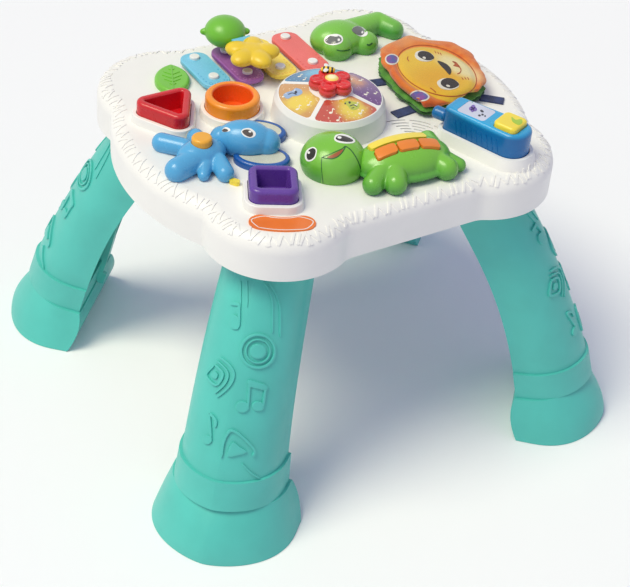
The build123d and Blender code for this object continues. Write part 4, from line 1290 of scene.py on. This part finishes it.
@dataclass
class Chimes:
    """Chime bars on pegs and the rocking striker."""

    pivot: Place = (-40.0, 118.0, 368.0)
    star_reach: float = 14.5
    star_turn: float = 58.0
    ball: Place = (-44.0, 142.0, 370.8)

    def star(self) -> None:
        """Puffy star of five rounded arms."""
        cx, cy = self.pivot[0] + 3.0, self.pivot[1] - 25.0
        forms = [blob((cx, cy, self.pivot[2]), (20.0, 20.0, 8.6))]
        for index in range(5):
            degrees = self.star_turn + FIFTH * index
            spot = about((cx, cy), self.star_reach, math.radians(degrees))
            forms.append(blob((*spot, self.pivot[2]), (16.5, 12.5, 8.3), degrees))
        star = fuse("star_form", forms, 0.9, 10, self.pivot[2] - 8.4)
        finish_piece(star, "striker", "star_yellow", STAR_YELLOW, "striker_star")

    def fruit(self) -> None:
        """Green ball with a small nub at each end."""
        x, y, z = self.ball
        forms = [blob(self.ball, (22.8, 22.8, 16.8))]
        for side in (-1.0, 1.0):
            forms.append(blob((x + side * 20.5, y - side * 8.5, z), (5.6, 4.0, 4.0), -22.0))
        ball = fuse("ball_form", forms, 0.8, 4, z - 16.6)
        finish_piece(ball, "striker", "ball_green", BALL_GREEN, "striker_ball")

    def prints(self) -> None:
        """Rows of dots and rings on the near ends of the bars."""
        darker = {"chime_bar_blue": srgb(86, 176, 216), "chime_bar_purple": srgb(196, 140, 200),
                  "chime_bar_yellow": srgb(240, 186, 60), "chime_bar_red": srgb(226, 84, 84)}
        for index, (node, colour) in enumerate(darker.items()):
            low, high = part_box(node)
            middle = (low[0] + high[0]) / 2 / MM
            front = low[1] / MM
            strokes = [ring(-9.0, 6.5, 2.4, 0.8, sides=16), ring(9.0, 6.5, 2.4, 0.8, sides=16), disc(-4.6, 3.8, 1.3),
                       disc(4.6, 3.8, 1.3), ring(0.0, 4.6, 2.0, 0.7, sides=16)]
            for side in (-1.0, 1.0):
                strokes += [disc(side * 12.0, 12.0 + 6.0 * row, 1.0, sides=12) for row in range(4)]
            stamp = Stamp(tuple(strokes), 0.12, 0.1)
            picture = stamp.press(node + "_print", bpy.data.objects[node], (middle, front, OVER))
            finish_piece(picture, "table", "peg_white", Moulded("bar_print_%d" % index, colour, roughness=0.35))

    def build(self) -> None:
        """Dress the bars and make the striker."""
        for finish, *nodes in ((BAR_BLUE, "chime_bar_blue", "striker_lever"), (BAR_PURPLE, "chime_bar_purple"),
                               (BAR_YELLOW, "chime_bar_yellow"), (BAR_CORAL, "chime_bar_red"),
                               (PEG_WHITE, "chime_pegs", "striker_post")):
            WARDROBE.dress_nodes(finish, *nodes)
        self.star()
        self.fruit()
        self.prints()


@dataclass
class Turtle:
    """Turtle with a split chin, shell keys and stubby legs."""

    head: Place = (-48.0, -98.0, 347.0)
    head_radii: Place = (34.2, 34.2, 27.2)
    shell: Point = (16.0, -130.0)
    turn: float = -8.0

    def spot(self, x: float, y: float, z: float) -> Place:
        """Place in the table from a place in the turtle's own frame."""
        angle = math.radians(self.turn)
        return (self.shell[0] + x * math.cos(angle) - y * math.sin(angle),
                self.shell[1] + x * math.sin(angle) + y * math.cos(angle), TOP_Z + z)

    def form(self) -> None:
        """Shell casing and legs melted into one form with the key pockets."""
        forms = [blob(self.spot(0, 0, 13), (51.5, 30.5, 21.6), self.turn),
                 blob(self.spot(1, -2, 8), (53.5, 32.5, 9.0), self.turn)]
        for start, end, first, last in (((-14.0, -140.0, 350.0), (-34.0, -152.0, 346.0), 11.0, 11.0),
                                        ((0.0, -138.0, 352.0), (-13.0, -161.0, 347.0), 12.0, 12.0),
                                        ((40.0, -140.0, 352.0), (49.0, -160.0, 347.0), 12.0, 12.5),
                                        ((56.0, -124.0, 349.0), (62.0, -106.0, 346.0), 11.0, 10.5),
                                        ((58.0, -142.0, 347.0), (67.0, -157.0, 344.5), 8.5, 7.5)):
            forms.append(limb(start, end, first, last))
        casing = fuse("turtle_form", forms, 1.0, 7)
        for x, y, length, width in ((-6.0, 6.5, 62.0, 12.0), (-25.0, -8.0, 22.0, 12.0), (-1.0, -8.0, 22.0, 12.0),
                                    (23.0, -8.0, 22.0, 12.0)):
            pocket(casing, block(self.spot(x, y, 42), (length + 1.0, width + 1.0, 60.0), self.turn, 3.4))
        pocket(casing, blob(self.head, self.head_radii))
        polish(casing, 40.0)
        finish_piece(casing, "table", "turtle_green", TURTLE, "turtle_body", "turtle_legs")

    def face(self) -> None:
        """Eyes, mouth and the seams of the chin, traced as they are seen."""
        seen: Place = (-63.0, -113.0, 366.0)
        head = bpy.data.objects["turtle_head"]
        lay("turtle", head, seen, "table", "turtle_green",
            ("eye_white", (
                shape((-16.7, 6.2), (-13.2, 4.1), (-13.0, 0.1), (-14.0, -4.5), (-17.4, -7.8), (-21.6, -8.4),
                      (-24.2, -4.9), (-24.2, 0.1), (-21.5, 4.0)),
                shape((3.0, 17.0), (4.5, 20.1), (9.4, 21.7), (15.4, 21.3), (20.6, 19.2), (24.2, 16.3), (22.7, 13.8),
                      (16.2, 12.5), (8.7, 12.7), (4.1, 14.3))), 0.25, EYE_WHITE),
            ("eye_dark", (
                shape((-17.1, 4.9), (-14.3, 3.5), (-14.0, 0.3), (-15.1, -3.8), (-17.8, -6.4), (-20.7, -6.9),
                      (-22.4, -4.2), (-22.4, -0.3), (-20.5, 2.9)),
                shape((4.6, 17.1), (7.1, 19.6), (12.1, 19.8), (17.7, 18.5), (21.8, 16.5), (20.8, 14.8), (15.1, 14.1),
                      (8.8, 14.5), (5.5, 15.4))), 0.42, EYE_DARK),
            # The white spots in the eyes are painted highlights.
            ("eye_spot", (disc(-20.6, 0.1, 1.3), disc(8.2, 17.6, 2.1, 1.2)), 0.56, EYE_WHITE),
            # The brown mouth fill stands for the opening between head and chin: partly the mouth's own brown, partly
            # painted shade in the gap.
            ("mouth", (shape((-2.4, -2.7), (2.4, 0.2), (7.6, 3.5), (13.1, 6.7), (11.0, 2.5), (7.0, -1.2),
                             (2.2, -3.2)),), 0.3, MOUTH))
        strokes = (line(1.1, (-7.5, -3.5), (1.7, -3.9), (7.5, -1.7), (12.1, 3.3), (15.1, 9.5)),
                   line(0.9, (-7.5, -3.3), (-0.6, 0.1), (6.5, 4.0), (11.7, 7.0), (14.8, 10.2)),
                   line(0.7, (-7.5, -3.5), (-6.8, -13.8), (-3.6, -30.0)),
                   line(0.9, (15.1, 9.9), (20.3, 6.8), (25.8, 0.6), (30.6, -7.4), (33.6, -15.1), (35.4, -21.4)))
        for ending, target in (("head", head), ("chin", bpy.data.objects["turtle_chin"])):
            lay("turtle", target, seen, "table", "turtle_green", ("seams_" + ending, strokes, 0.2, LINE_GREEN))

    def build(self) -> None:
        """Make the form and paint the face."""
        WARDROBE.dress_nodes(TURTLE, "turtle_head")
        WARDROBE.dress_nodes(CHIN, "turtle_chin")
        self.form()
        self.face()


@dataclass
class Inchworm:
    """Green inchworm: a head with a snout and a tail along the rim."""

    seen: Place = (80.0, 89.0, 362.0)

    def build(self) -> None:
        """Make the form and paint the face."""
        form = fuse("inchworm_form", [
            blob((86.0, 112.0, 348.0), (33.0, 25.0, 20.5), -14.0), blob((76.0, 96.0, 346.0), (18.0, 15.5, 16.5)),
            blob((111.0, 95.0, 345.0), (16.0, 15.0, 14.5)),
            limb((104.0, 122.0, 348.0), (148.0, 127.0, 347.0), 14.0, 13.0),
            limb((148.0, 127.0, 347.0), (159.0, 109.0, 344.5), 13.0, 12.0)], 1.0, 9)
        finish_piece(form, "table", "inchworm_green", INCHWORM, "inchworm_body")
        lay("inchworm", form, self.seen, "table", "inchworm_green",
            ("eye_white", (
                shape((-23.6, -3.7), (-21.1, 0.2), (-16.3, 2.4), (-9.7, 3.5), (-4.2, 1.7), (-2.5, -2.1), (-4.3, -6.0),
                      (-10.2, -8.6), (-17.5, -9.0), (-22.1, -7.2)),
                shape((6.9, 11.6), (10.5, 14.1), (16.1, 14.4), (21.4, 11.8), (24.6, 7.7), (22.7, 4.4), (17.8, 3.1),
                      (12.6, 4.6), (8.1, 7.7))), 0.25, EYE_WHITE),
            ("eye_grey", (
                shape((-22.0, -4.4), (-19.0, -0.7), (-14.5, 1.6), (-8.4, 1.6), (-4.6, -0.7), (-4.5, -3.8),
                      (-8.8, -6.4), (-15.3, -8.1), (-19.5, -7.2)),
                shape((6.3, 9.3), (8.4, 12.8), (13.3, 14.3), (18.0, 12.2), (20.9, 8.7), (19.0, 5.2), (14.6, 4.4),
                      (10.0, 5.9))), 0.42, EYE_GREY),
            # The white spots in the eyes are painted highlights.
            ("eye_spot", (disc(-7.1, -2.9, 1.4), disc(18.2, 7.8, 1.3)), 0.56, EYE_WHITE),
            ("lines", (line(1.2, (-8.6, -13.7), (-3.5, -14.4), (3.6, -13.1), (6.3, -11.7)),
                       line(1.8, (24.5, -4.9), (27.5, -5.1), (30.7, -2.6))), 0.25, LINE_GREEN))


@dataclass
class BlueAnimal:
    """Resting blue animal with big ears and a belly button."""

    body_spot: Place = (-166.0, -36.0, 349.0)
    head_spot: Place = (-115.0, -34.0, 352.0)

    def build(self) -> None:
        """Make the forms, dress the ears and paint the face."""
        torso = fuse("animal_form", [
            blob(self.body_spot, (27.0, 18.0, 16.0), 2.0), limb((-174, -14, 346), (-189, 6, 344), 9.5, 10.5),
            limb((-180, -42, 347), (-199, -47, 345), 13.0, 12.5), limb((-156, -18, 346), (-154, -1, 345), 9.0, 9.5),
            limb((-155, -52, 346), (-157, -70, 344), 9.5, 9.5), limb((-170, -52, 345), (-177, -62, 342), 8.5, 6.0)],
            1.0, 8)
        clear()
        bpy.ops.mesh.primitive_cylinder_add(vertices=48, radius=11.0 * MM, depth=40.0 * MM,
                                            location=(-0.166, -0.036, 0.371))
        pocket(torso, settle(put("cutter")))
        pocket(torso, blob(self.head_spot, (30.2, 20.7, 20.7), -34.0))
        polish(torso, 40.0)
        finish_piece(torso, "table", "animal_blue", ANIMAL, "animal_body")
        head = fuse("animal_head_form", [
            blob(self.head_spot, (29.5, 20.0, 20.0), -34.0), blob((-97.0, -46.0, 350.0), (15.0, 15.0, 15.0)),
            blob((-134.0, -20.0, 349.0), (13.0, 13.0, 14.0))], 1.0, 8)
        finish_piece(head, "table", "animal_blue", ANIMAL, "animal_head")
        lay("animal", head, (-123.0, -48.0, 366.0), "table", "animal_blue",
            ("eye_white", (
                shape((-4.3, 4.3), (-2.3, 6.9), (3.2, 8.1), (7.8, 6.2), (10.3, 2.9), (9.0, -0.2), (4.6, -1.7),
                      (-0.3, -0.6), (-3.3, 1.7)),
                shape((-20.4, 7.6), (-16.3, 6.5), (-15.4, 4.4), (-19.1, 2.9), (-23.1, 2.9), (-23.3, 5.1))),
             0.25, EYE_WHITE),
            ("eye_brown", (
                shape((-3.4, 4.5), (-0.7, 6.2), (3.8, 6.3), (7.1, 3.9), (7.3, 0.9), (4.7, -0.7), (0.8, 0.3),
                      (-2.1, 2.1)),
                shape((-23.5, 4.2), (-21.3, 6.0), (-18.3, 5.4), (-17.5, 4.2), (-19.4, 3.0), (-22.4, 2.9))),
             0.42, EYE_BROWN),
            # The white spot in the eye is a painted highlight.
            ("eye_spot", (disc(4.4, 4.5, 1.5, 1.0),), 0.56, EYE_WHITE))
        WARDROBE.dress_nodes(EAR, "animal_ears")
        WARDROBE.dress_nodes(EAR_PRINT, "ear_panels")


@dataclass
class Handset:
    """Toy handset with a picture, a dial key and ribbed grips."""

    centre: Point = (119.0, -132.5)
    turn: float = -67.0

    def build(self) -> None:
        """Dress the handset and add its ribs and print."""
        WARDROBE.dress_nodes(PHONE, "phone_body")
        WARDROBE.dress_nodes(SCREEN, "phone_screen")
        body = bpy.data.objects["phone_body"]
        angle = math.radians(self.turn)
        along, across = (math.cos(angle), math.sin(angle)), (-math.sin(angle), math.cos(angle))
        ribs = []
        for side in (-1.0, 1.0):
            outward = (side * across[0], side * across[1], 0.0)
            for index in range(9):
                reach = -30.0 + 6.5 * index
                spot = (self.centre[0] + reach * along[0] + 60.0 * outward[0],
                        self.centre[1] + reach * along[1] + 60.0 * outward[1], 358.0)
                ribs.append(Stamp((bar(0, 0, 15.0, 1.5, 90.0),), 0.5, 0.2).press("rib", body, spot, outward, 14.0))
        finish_piece(join("phone_ribs", ribs), "handset", "phone_blue", PHONE)
        seen: Place = (111.0, -125.0, 375.0)
        lay("phone_print", bpy.data.objects["phone_screen"], seen, "handset", "screen_print",
            ("leaves", (
                shape((-12.6, 14.9), (-4.3, 15.0), (4.4, 12.7), (13.2, 9.2), (10.3, 7.8), (2.9, 8.8), (-4.7, 10.8),
                      (-11.1, 12.0)),
                shape((-13.9, -4.0), (-7.5, -4.7), (1.3, -7.6), (9.9, -9.7), (12.3, -11.7), (5.0, -11.5),
                      (-3.8, -8.8), (-11.4, -6.4))), 0.12, PRINT_TEAL),
            ("flower", (disc(-8.1, 7.2, 2.2), disc(-10.2, 5.2, 2.0), disc(-6.0, 5.0, 2.1), disc(-8.4, 3.6, 1.8)), 0.16,
             Moulded("print_violet", srgb(122, 94, 178), roughness=0.25)),
            ("dots", (disc(1.4, 4.2, 2.0, 1.1, -20.0), disc(-0.4, -0.6, 1.4, 0.9), disc(2.6, 0.7, 1.3, 0.9),
                      disc(5.4, -0.4, 0.8)), 0.2, PRINT_NAVY))
        lay("phone_key", bpy.data.objects["phone_key"], seen, "dial_key", "leaf_green",
            ("print", (shape((32.4, 2.7), (37.0, 0.2), (42.4, 1.8), (44.0, -1.5), (40.9, -4.4), (36.5, -3.4),
                             (33.4, -1.4)),), 0.16, Moulded("print_leaf", srgb(168, 204, 60), roughness=0.3)))


@dataclass
class Trim:
    """Leaf, stems and the plain label plate."""

    def build(self) -> None:
        """Dress the trim and add the leaf's veins and the label's line."""
        for finish, node in ((LEAF, "leaf"), (YELLOW, "vine_stems"), (LABEL, "label_plate")):
            WARDROBE.dress_nodes(finish, node)
        leaf = bpy.data.objects["leaf"]
        strokes = [bar(0, 0, 50.0, 1.6, 90.0)]
        for index in range(5):
            y = -17.0 + 7.6 * index
            reach = 11.5 - 0.035 * (y + 2.0) ** 2
            strokes += [bar(reach * 0.5, y + 3.0, reach, 1.4, 35.0), bar(-reach * 0.5, y + 3.0, reach, 1.4, -35.0)]
        veins = Stamp(tuple(strokes), 0.7, 0.4, 0.25).press("leaf_veins", leaf, (-120.5, 118.0, OVER), UP, -24.0)
        finish_piece(veins, "table", "leaf_green", LEAF)
        plate = bpy.data.objects["label_plate"]
        border = Stamp((self.border(),), 0.15, 0.1).press("label_line", plate, (-144.0, -163.0, OVER), UP, -27.0)
        finish_piece(border, "table", "peg_white", PEG_WHITE)

    @staticmethod
    def border(bend: float = 75.0, half: float = 9.8, first: int = 254, last: int = 286) -> Stroke:
        """Line just inside the edge of the curved plate.

        Args:
            bend: Radius of the plate's middle line.
            half: Half the width that the line encloses.
            first: Start of the middle line in degrees.
            last: End of the middle line in degrees.

        Returns:
            The line.
        """
        def at(degrees: float, reach: float) -> Vector:
            """Point about the centre of the bend."""
            angle = math.radians(degrees)
            return Vector((reach * math.cos(angle), bend + reach * math.sin(angle)))

        def cap(degrees: float, sign: float) -> Vector:
            """Tip of a rounded end."""
            angle = math.radians(degrees)
            return at(degrees, bend) + Vector((-math.sin(angle), math.cos(angle))) * sign * half
        sweep = range(first, last + 1, 8)
        points = [at(degrees, bend + half) for degrees in sweep] + [cap(last, 1.0)]
        points += [at(degrees, bend - half) for degrees in reversed(sweep)] + [cap(first, -1.0)]
        return line(0.9, *(tuple(point) for point in [*points, points[0]]))


@dataclass
class Book:
    """Cloth book: padded lion cover, green page and back, navy straps."""

    face_centre: Point = (135.0, -12.0)
    face_radii: Point = (40.5, 55.5)
    face_turn: float = -10.0
    frames: int = 20

    def pad(self, node: str, name: str, finish: Woven, slot_name: str, voxel: float, pressure: float,
            cap: float, fill: float, shrink: float) -> bpy.types.Object:
        """Turn a plain plate of the frame into a stuffed cloth pad.

        Args:
            node: Plate that the pad replaces.
            name: Name of the pad.
            finish: Cloth of the pad.
            slot_name: Material slot in the record; not used.
            voxel: Mesh size in millimetres.
            pressure: Stuffing pressure.
            cap: Furthest that a point may move, in millimetres.
            fill: How full the pad is, 0 to 1; not used.
            shrink: Size before it swells, as a share.

        Returns:
            The pad.
        """
        low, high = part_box(node)
        middle = (Vector(low) + Vector(high)) / 2
        pick(bpy.data.objects[node])
        bpy.ops.object.duplicate()
        pad = put(name)
        for key in list(pad.keys()):
            if key.startswith("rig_"):
                del pad[key]
        edit(pad, lambda: bpy.ops.mesh.remove_doubles(threshold=0.00001),
             lambda: bpy.ops.transform.translate(value=-middle),
             lambda: bpy.ops.transform.resize(value=(shrink, shrink, 0.72)),
             lambda: bpy.ops.transform.translate(value=middle))
        modify(pad, "REMESH", mode="VOXEL", voxel_size=voxel * MM)
        self.stuff(pad, pressure, cap)
        self.fit(pad, Vector(low), Vector(high))
        modify(pad, "SUBSURF", levels=1, render_levels=1)
        pick(pad)
        bpy.ops.object.shade_smooth()
        WARDROBE.dress(pad, finish)
        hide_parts(node)
        return pad

    def stuff(self, pad: bpy.types.Object, pressure: float, cap: float) -> None:
        """Swell a pad by a cloth simulation and apply the result.

        Args:
            pad: Closed mesh.
            pressure: Stuffing pressure.
            cap: Furthest that a point may move, in millimetres.
        """
        before = [vertex.co.copy() for vertex in pad.data.vertices]
        pick(pad)
        cloth = pad.modifiers.new("Cloth", "CLOTH")
        cloth.settings.use_pressure = True
        cloth.settings.uniform_pressure_force = pressure
        cloth.settings.quality = 6
        cloth.settings.mass = 0.25
        cloth.settings.effector_weights.gravity = 0.0
        for frame_number in range(1, self.frames + 1):
            bpy.context.scene.frame_set(frame_number)
        bpy.ops.object.modifier_apply(modifier=cloth.name)
        bpy.context.scene.frame_set(1)
        for vertex, start in zip(pad.data.vertices, before):
            shift = vertex.co - start
            if shift.length > cap * MM:
                vertex.co = start + shift.normalized() * cap * MM

    def fit(self, pad: bpy.types.Object, low: Vector, high: Vector) -> None:
        """Keep a pad inside the space of the plate it replaces."""
        for vertex in pad.data.vertices:
            vertex.co.z = min(max(vertex.co.z, low.z), high.z + 0.0008)

    def quilt(self, cover: bpy.types.Object) -> None:
        """Sew the groove round the face and the soft folds of the mane."""
        cx, cy = self.face_centre
        rx, ry = self.face_radii
        turn = Matrix.Rotation(math.radians(-self.face_turn), 2)
        for vertex in cover.data.vertices:
            if vertex.normal.z < 0.2:
                continue
            x, y = turn @ Vector((vertex.co.x / MM - cx, vertex.co.y / MM - cy))
            reach = math.hypot(x / rx, y / ry)
            angle = math.atan2(y, x)
            seam = math.exp(-((reach - 1.0) * 11.0) ** 2)
            fold = 0.0
            if reach > 1.0:
                rise = min(1.0, (reach - 1.0) * 6.0)
                fold = rise * (0.55 * math.sin(11.0 * angle + 2.0 * math.sin(3.0 * angle)) - 0.2)
            dome = 1.2 * max(0.0, 1.0 - reach * reach)
            vertex.co.z += (dome + fold - 2.6 * seam) * MM

    def face(self, cover: bpy.types.Object) -> None:
        """Sew the eyes, nose, mouth, whiskers, brows and ears, traced as they are seen."""
        white, black, violet, rust = (
            Woven("felt_" + name, colour, shade, thread=0.6, nap=0.08)
            for name, colour, shade in (("white", srgb(250, 246, 232), srgb(238, 232, 216)),
                                        ("black", srgb(34, 24, 24), srgb(22, 15, 15)),
                                        ("violet", srgb(150, 84, 160), srgb(84, 104, 176)),
                                        ("rust", srgb(196, 92, 30), srgb(176, 74, 24))))
        ears = (disc(-50.4, 7.3, 6.2, 4.6), shape((-24.3, -28.7), (-22.0, -25.2), (-17.3, -23.3), (-10.7, -24.0),
                                                  (-5.7, -27.1), (-8.2, -30.3), (-15.2, -31.6), (-21.3, -30.8)))
        rims = (disc(-50.4, 7.3, 7.6, 6.0), shape((-26.0, -28.9), (-23.0, -24.2), (-17.5, -21.9), (-10.3, -22.6),
                                                  (-3.9, -27.1), (-7.6, -31.7), (-15.4, -33.0), (-22.4, -32.0)))
        lay("lion", cover, (133.0, -15.0, 362.0), "book_cover", "cloth_cover",
            # The rust line along the face's quilted groove is painted shade in the groove.
            ("seam", (self.seam_shade_line(),), 0.15, rust),
            ("ear_rims", rims, 0.3, white), ("ears", ears, 0.5, violet),
            ("eye_white", (
                shape((-26.3, 15.1), (-25.1, 18.5), (-19.9, 20.7), (-13.3, 20.4), (-8.1, 18.5), (-5.0, 15.4),
                      (-6.7, 11.8), (-11.9, 9.6), (-19.0, 9.5), (-24.2, 11.7)),
                shape((2.0, -12.3), (3.2, -9.2), (7.3, -6.7), (14.2, -5.4), (21.0, -6.7), (25.2, -9.5), (25.3, -13.0),
                      (21.1, -15.9), (13.7, -17.7), (6.4, -16.6))), 0.5, white),
            ("eye_black", (
                shape((-23.3, 16.4), (-21.3, 19.2), (-16.0, 20.3), (-10.4, 19.3), (-6.2, 16.5), (-5.0, 14.1),
                      (-7.8, 11.6), (-12.6, 10.8), (-18.2, 12.0), (-22.1, 13.9)),
                shape((5.8, -11.3), (7.5, -8.0), (12.6, -5.6), (18.7, -6.0), (23.4, -8.4), (25.5, -11.0),
                      (23.0, -13.9), (17.3, -16.2), (11.2, -15.6), (7.3, -13.9)),
                shape((-0.7, 11.4), (4.4, 10.9), (10.1, 8.8), (14.3, 5.4), (15.6, 1.9), (14.5, -1.3), (12.4, -0.2),
                      (8.1, 3.6), (3.6, 7.1))), 0.75, black),
            # The white spots in the eyes are painted highlights.
            ("eye_spot", (disc(-15.5, 12.8, 1.9, 1.1, -14.0), disc(14.1, -14.0, 2.2, 1.0, -10.0)), 0.95, white),
            ("mouth", (line(1.0, (15.5, 13.2), (20.1, 11.6), (23.9, 8.4), (26.0, 4.8), (24.8, 1.7), (22.4, 0.6)),
                       shape((15.6, 13.4), (20.3, 12.5), (24.3, 7.8), (21.6, 8.1), (17.1, 8.8), (18.6, 10.9))),
             0.35, rust),
            ("threads", (
                line(0.7, (-5.4, 22.6), (-3.4, 20.1)), line(0.7, (-2.0, 21.9), (-0.1, 19.5)),
                line(0.7, (0.8, 21.2), (2.8, 18.7)), line(0.7, (27.5, -2.5), (29.7, -5.0)),
                line(0.7, (30.6, -1.9), (32.8, -4.4)), line(0.7, (33.6, -1.7), (35.8, -4.3)),
                line(0.9, (-33.3, 12.8), (-33.6, 9.9), (-31.3, 7.5)),
                line(0.9, (-4.9, -17.6), (-0.8, -19.7), (2.2, -21.8))), 0.25, rust))

    def seam_shade_line(self) -> Stroke:
        """Dark line round the face along the quilted groove, painted shade of the groove, across the line of sight of
        its spot.
        """
        spot = Vector((133.0, -15.0, 362.0))
        outward = (Vector(STAND) - spot).normalized()
        side = Vector(UP).cross(outward).normalized()
        rise = outward.cross(side)
        points = []
        for degrees in range(0, 361, 15):
            angle = math.radians(degrees)
            plan = Matrix.Rotation(math.radians(self.face_turn), 2) @ Vector((
                self.face_radii[0] * math.cos(angle), self.face_radii[1] * math.sin(angle)))
            reach = Vector((self.face_centre[0] + plan.x, self.face_centre[1] + plan.y, spot.z)) - spot
            points.append((reach.dot(side), reach.dot(rise)))
        return line(1.1, *points)

    def build(self) -> None:
        """Make the pads, sew the face and dress the straps."""
        back = self.pad("book_back", "lion_back", BACK_GREEN, "cloth_back", 3.0, 1.5, 2.0, 0.3, 0.97)
        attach(back, "table")
        page = self.pad("book_page", "lion_page", PAGE_GREEN, "cloth_page", 3.5, 2.5, 3.0, 0.5, 0.96)
        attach(page, "book_page")
        cover = self.pad("book_cover", "lion_cover", COVER, "cloth_cover", 4.5, 4.0, 6.0, 0.8, 0.95)
        modify(cover, "SUBSURF", levels=1, render_levels=1)
        self.quilt(cover)
        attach(cover, "book_cover")
        self.face(cover)
        WARDROBE.dress_nodes(NAVY_TAPE, "book_straps")


# ---- the room --------------------------------------------------------------
@dataclass
class Studio:
    """Pale floor, soft lamps and the camera."""

    azimuth: float = -33.91
    elevation: float = 37.53
    roll: float = 5.18
    focal: float = 1678.2
    width: float = 630.0
    sensor: float = 36.0

    def camera(self) -> None:
        """Set the camera at its measured stand."""
        a, e, r = (math.radians(value) for value in (self.azimuth, self.elevation, self.roll))
        back = Vector((math.sin(a) * math.cos(e), -math.cos(a) * math.cos(e), math.sin(e)))
        right = Vector((math.cos(a), math.sin(a), 0.0))
        rise = back.cross(right)
        across = right * math.cos(r) + rise * math.sin(r)
        upward = rise * math.cos(r) - right * math.sin(r)
        lens = bpy.data.cameras.new("studio_camera")
        lens.sensor_width = self.sensor
        lens.lens = self.focal / self.width * self.sensor
        lens.clip_start, lens.clip_end = 0.05, 50.0
        rig = bpy.data.objects.new("studio_camera", lens)
        bpy.context.scene.collection.objects.link(rig)
        rig.matrix_world = Matrix.Translation(Vector(STAND) * MM) @ Matrix(
            (across, upward, back)).transposed().to_4x4()
        bpy.context.scene.camera = rig

    def lamp(self, name: str, spot: Place, size: float, power: float, colour: Colour) -> None:
        """Hang one square softbox aimed at the table.

        Args:
            name: Name of the lamp.
            spot: Place in metres.
            size: Side in metres.
            power: Watts.
            colour: Light colour.
        """
        light = bpy.data.lights.new(name, "AREA")
        light.size = size
        light.energy = power
        light.color = colour
        rig = bpy.data.objects.new(name, light)
        bpy.context.scene.collection.objects.link(rig)
        aim = Vector((0.0, 0.0, 0.3)) - Vector(spot)
        rig.matrix_world = Matrix.Translation(spot) @ aim.to_track_quat("-Z", "Y").to_matrix().to_4x4()

    def sun(self, spot: Place, power: float, colour: Colour) -> None:
        """Hang the main lamp, which lights the whole floor alike.

        Args:
            spot: Direction it comes from.
            power: Strength.
            colour: Light colour.
        """
        light = bpy.data.lights.new("key_lamp", "SUN")
        light.energy = power
        light.color = colour
        light.angle = math.radians(30.0)
        rig = bpy.data.objects.new("key_lamp", light)
        bpy.context.scene.collection.objects.link(rig)
        rig.matrix_world = (-Vector(spot)).to_track_quat("-Z", "Y").to_matrix().to_4x4()

    def floor(self) -> None:
        """Lay the floor and light the room."""
        clear()
        bpy.ops.mesh.primitive_plane_add(size=12.0, location=(0.0, 0.0, -0.0005))
        ground = put("studio_floor")
        paint = Paint("studio_floor")
        tone = paint.mix(paint.noise(900.0, 1.0), (0.95, 0.95, 0.96), (0.97, 0.97, 0.98))
        ground.data.materials.append(paint.close(Base_Color=tone, Roughness=0.95))
        world = bpy.data.worlds.new("studio_world")
        world.use_nodes = True
        tree = world.node_tree
        tree.nodes.clear()
        sky = tree.nodes.new("ShaderNodeBackground")
        seen = tree.nodes.new("ShaderNodeBackground")
        rays = tree.nodes.new("ShaderNodeLightPath")
        mixer = tree.nodes.new("ShaderNodeMixShader")
        output = tree.nodes.new("ShaderNodeOutputWorld")
        sky.inputs[0].default_value = (0.66, 0.69, 1.0, 1.0)
        sky.inputs[1].default_value = 0.48
        seen.inputs[0].default_value = (1.0, 1.0, 1.0, 1.0)
        seen.inputs[1].default_value = 1.0
        either = rays.outputs["Is Camera Ray"]
        for kind in ("Is Glossy Ray", "Is Transmission Ray"):
            total = tree.nodes.new("ShaderNodeMath")
            total.operation = "MAXIMUM"
            tree.links.new(either, total.inputs[0])
            tree.links.new(rays.outputs[kind], total.inputs[1])
            either = total.outputs[0]
        tree.links.new(either, mixer.inputs[0])
        tree.links.new(sky.outputs[0], mixer.inputs[1])
        tree.links.new(seen.outputs[0], mixer.inputs[2])
        tree.links.new(mixer.outputs[0], output.inputs[0])
        bpy.context.scene.world = world

    def build(self) -> None:
        """Set up the whole room."""
        self.camera()
        self.floor()
        self.sun((-0.85, 0.1, 1.5), 2.2, (1.0, 0.98, 0.74))
        self.lamp("soft_box", (-1.0, -0.5, 1.7), 0.9, 3.0, (1.0, 0.99, 0.96))
        bpy.context.scene.view_settings.view_transform = "Standard"


def main() -> None:
    """Build and dress every sub-assembly in order."""
    logging.basicConfig(level=logging.INFO)
    Studio().build()
    for part in (Shell(), Legs(), RimRelief(), LightDome(), Buttons(), Chimes(), Turtle(), Inchworm(), BlueAnimal(),
                 Handset(), Trim(), Book()):
        part.build()
        LOG.info("built %s", type(part).__name__)


if __name__ == "__main__":
    main()
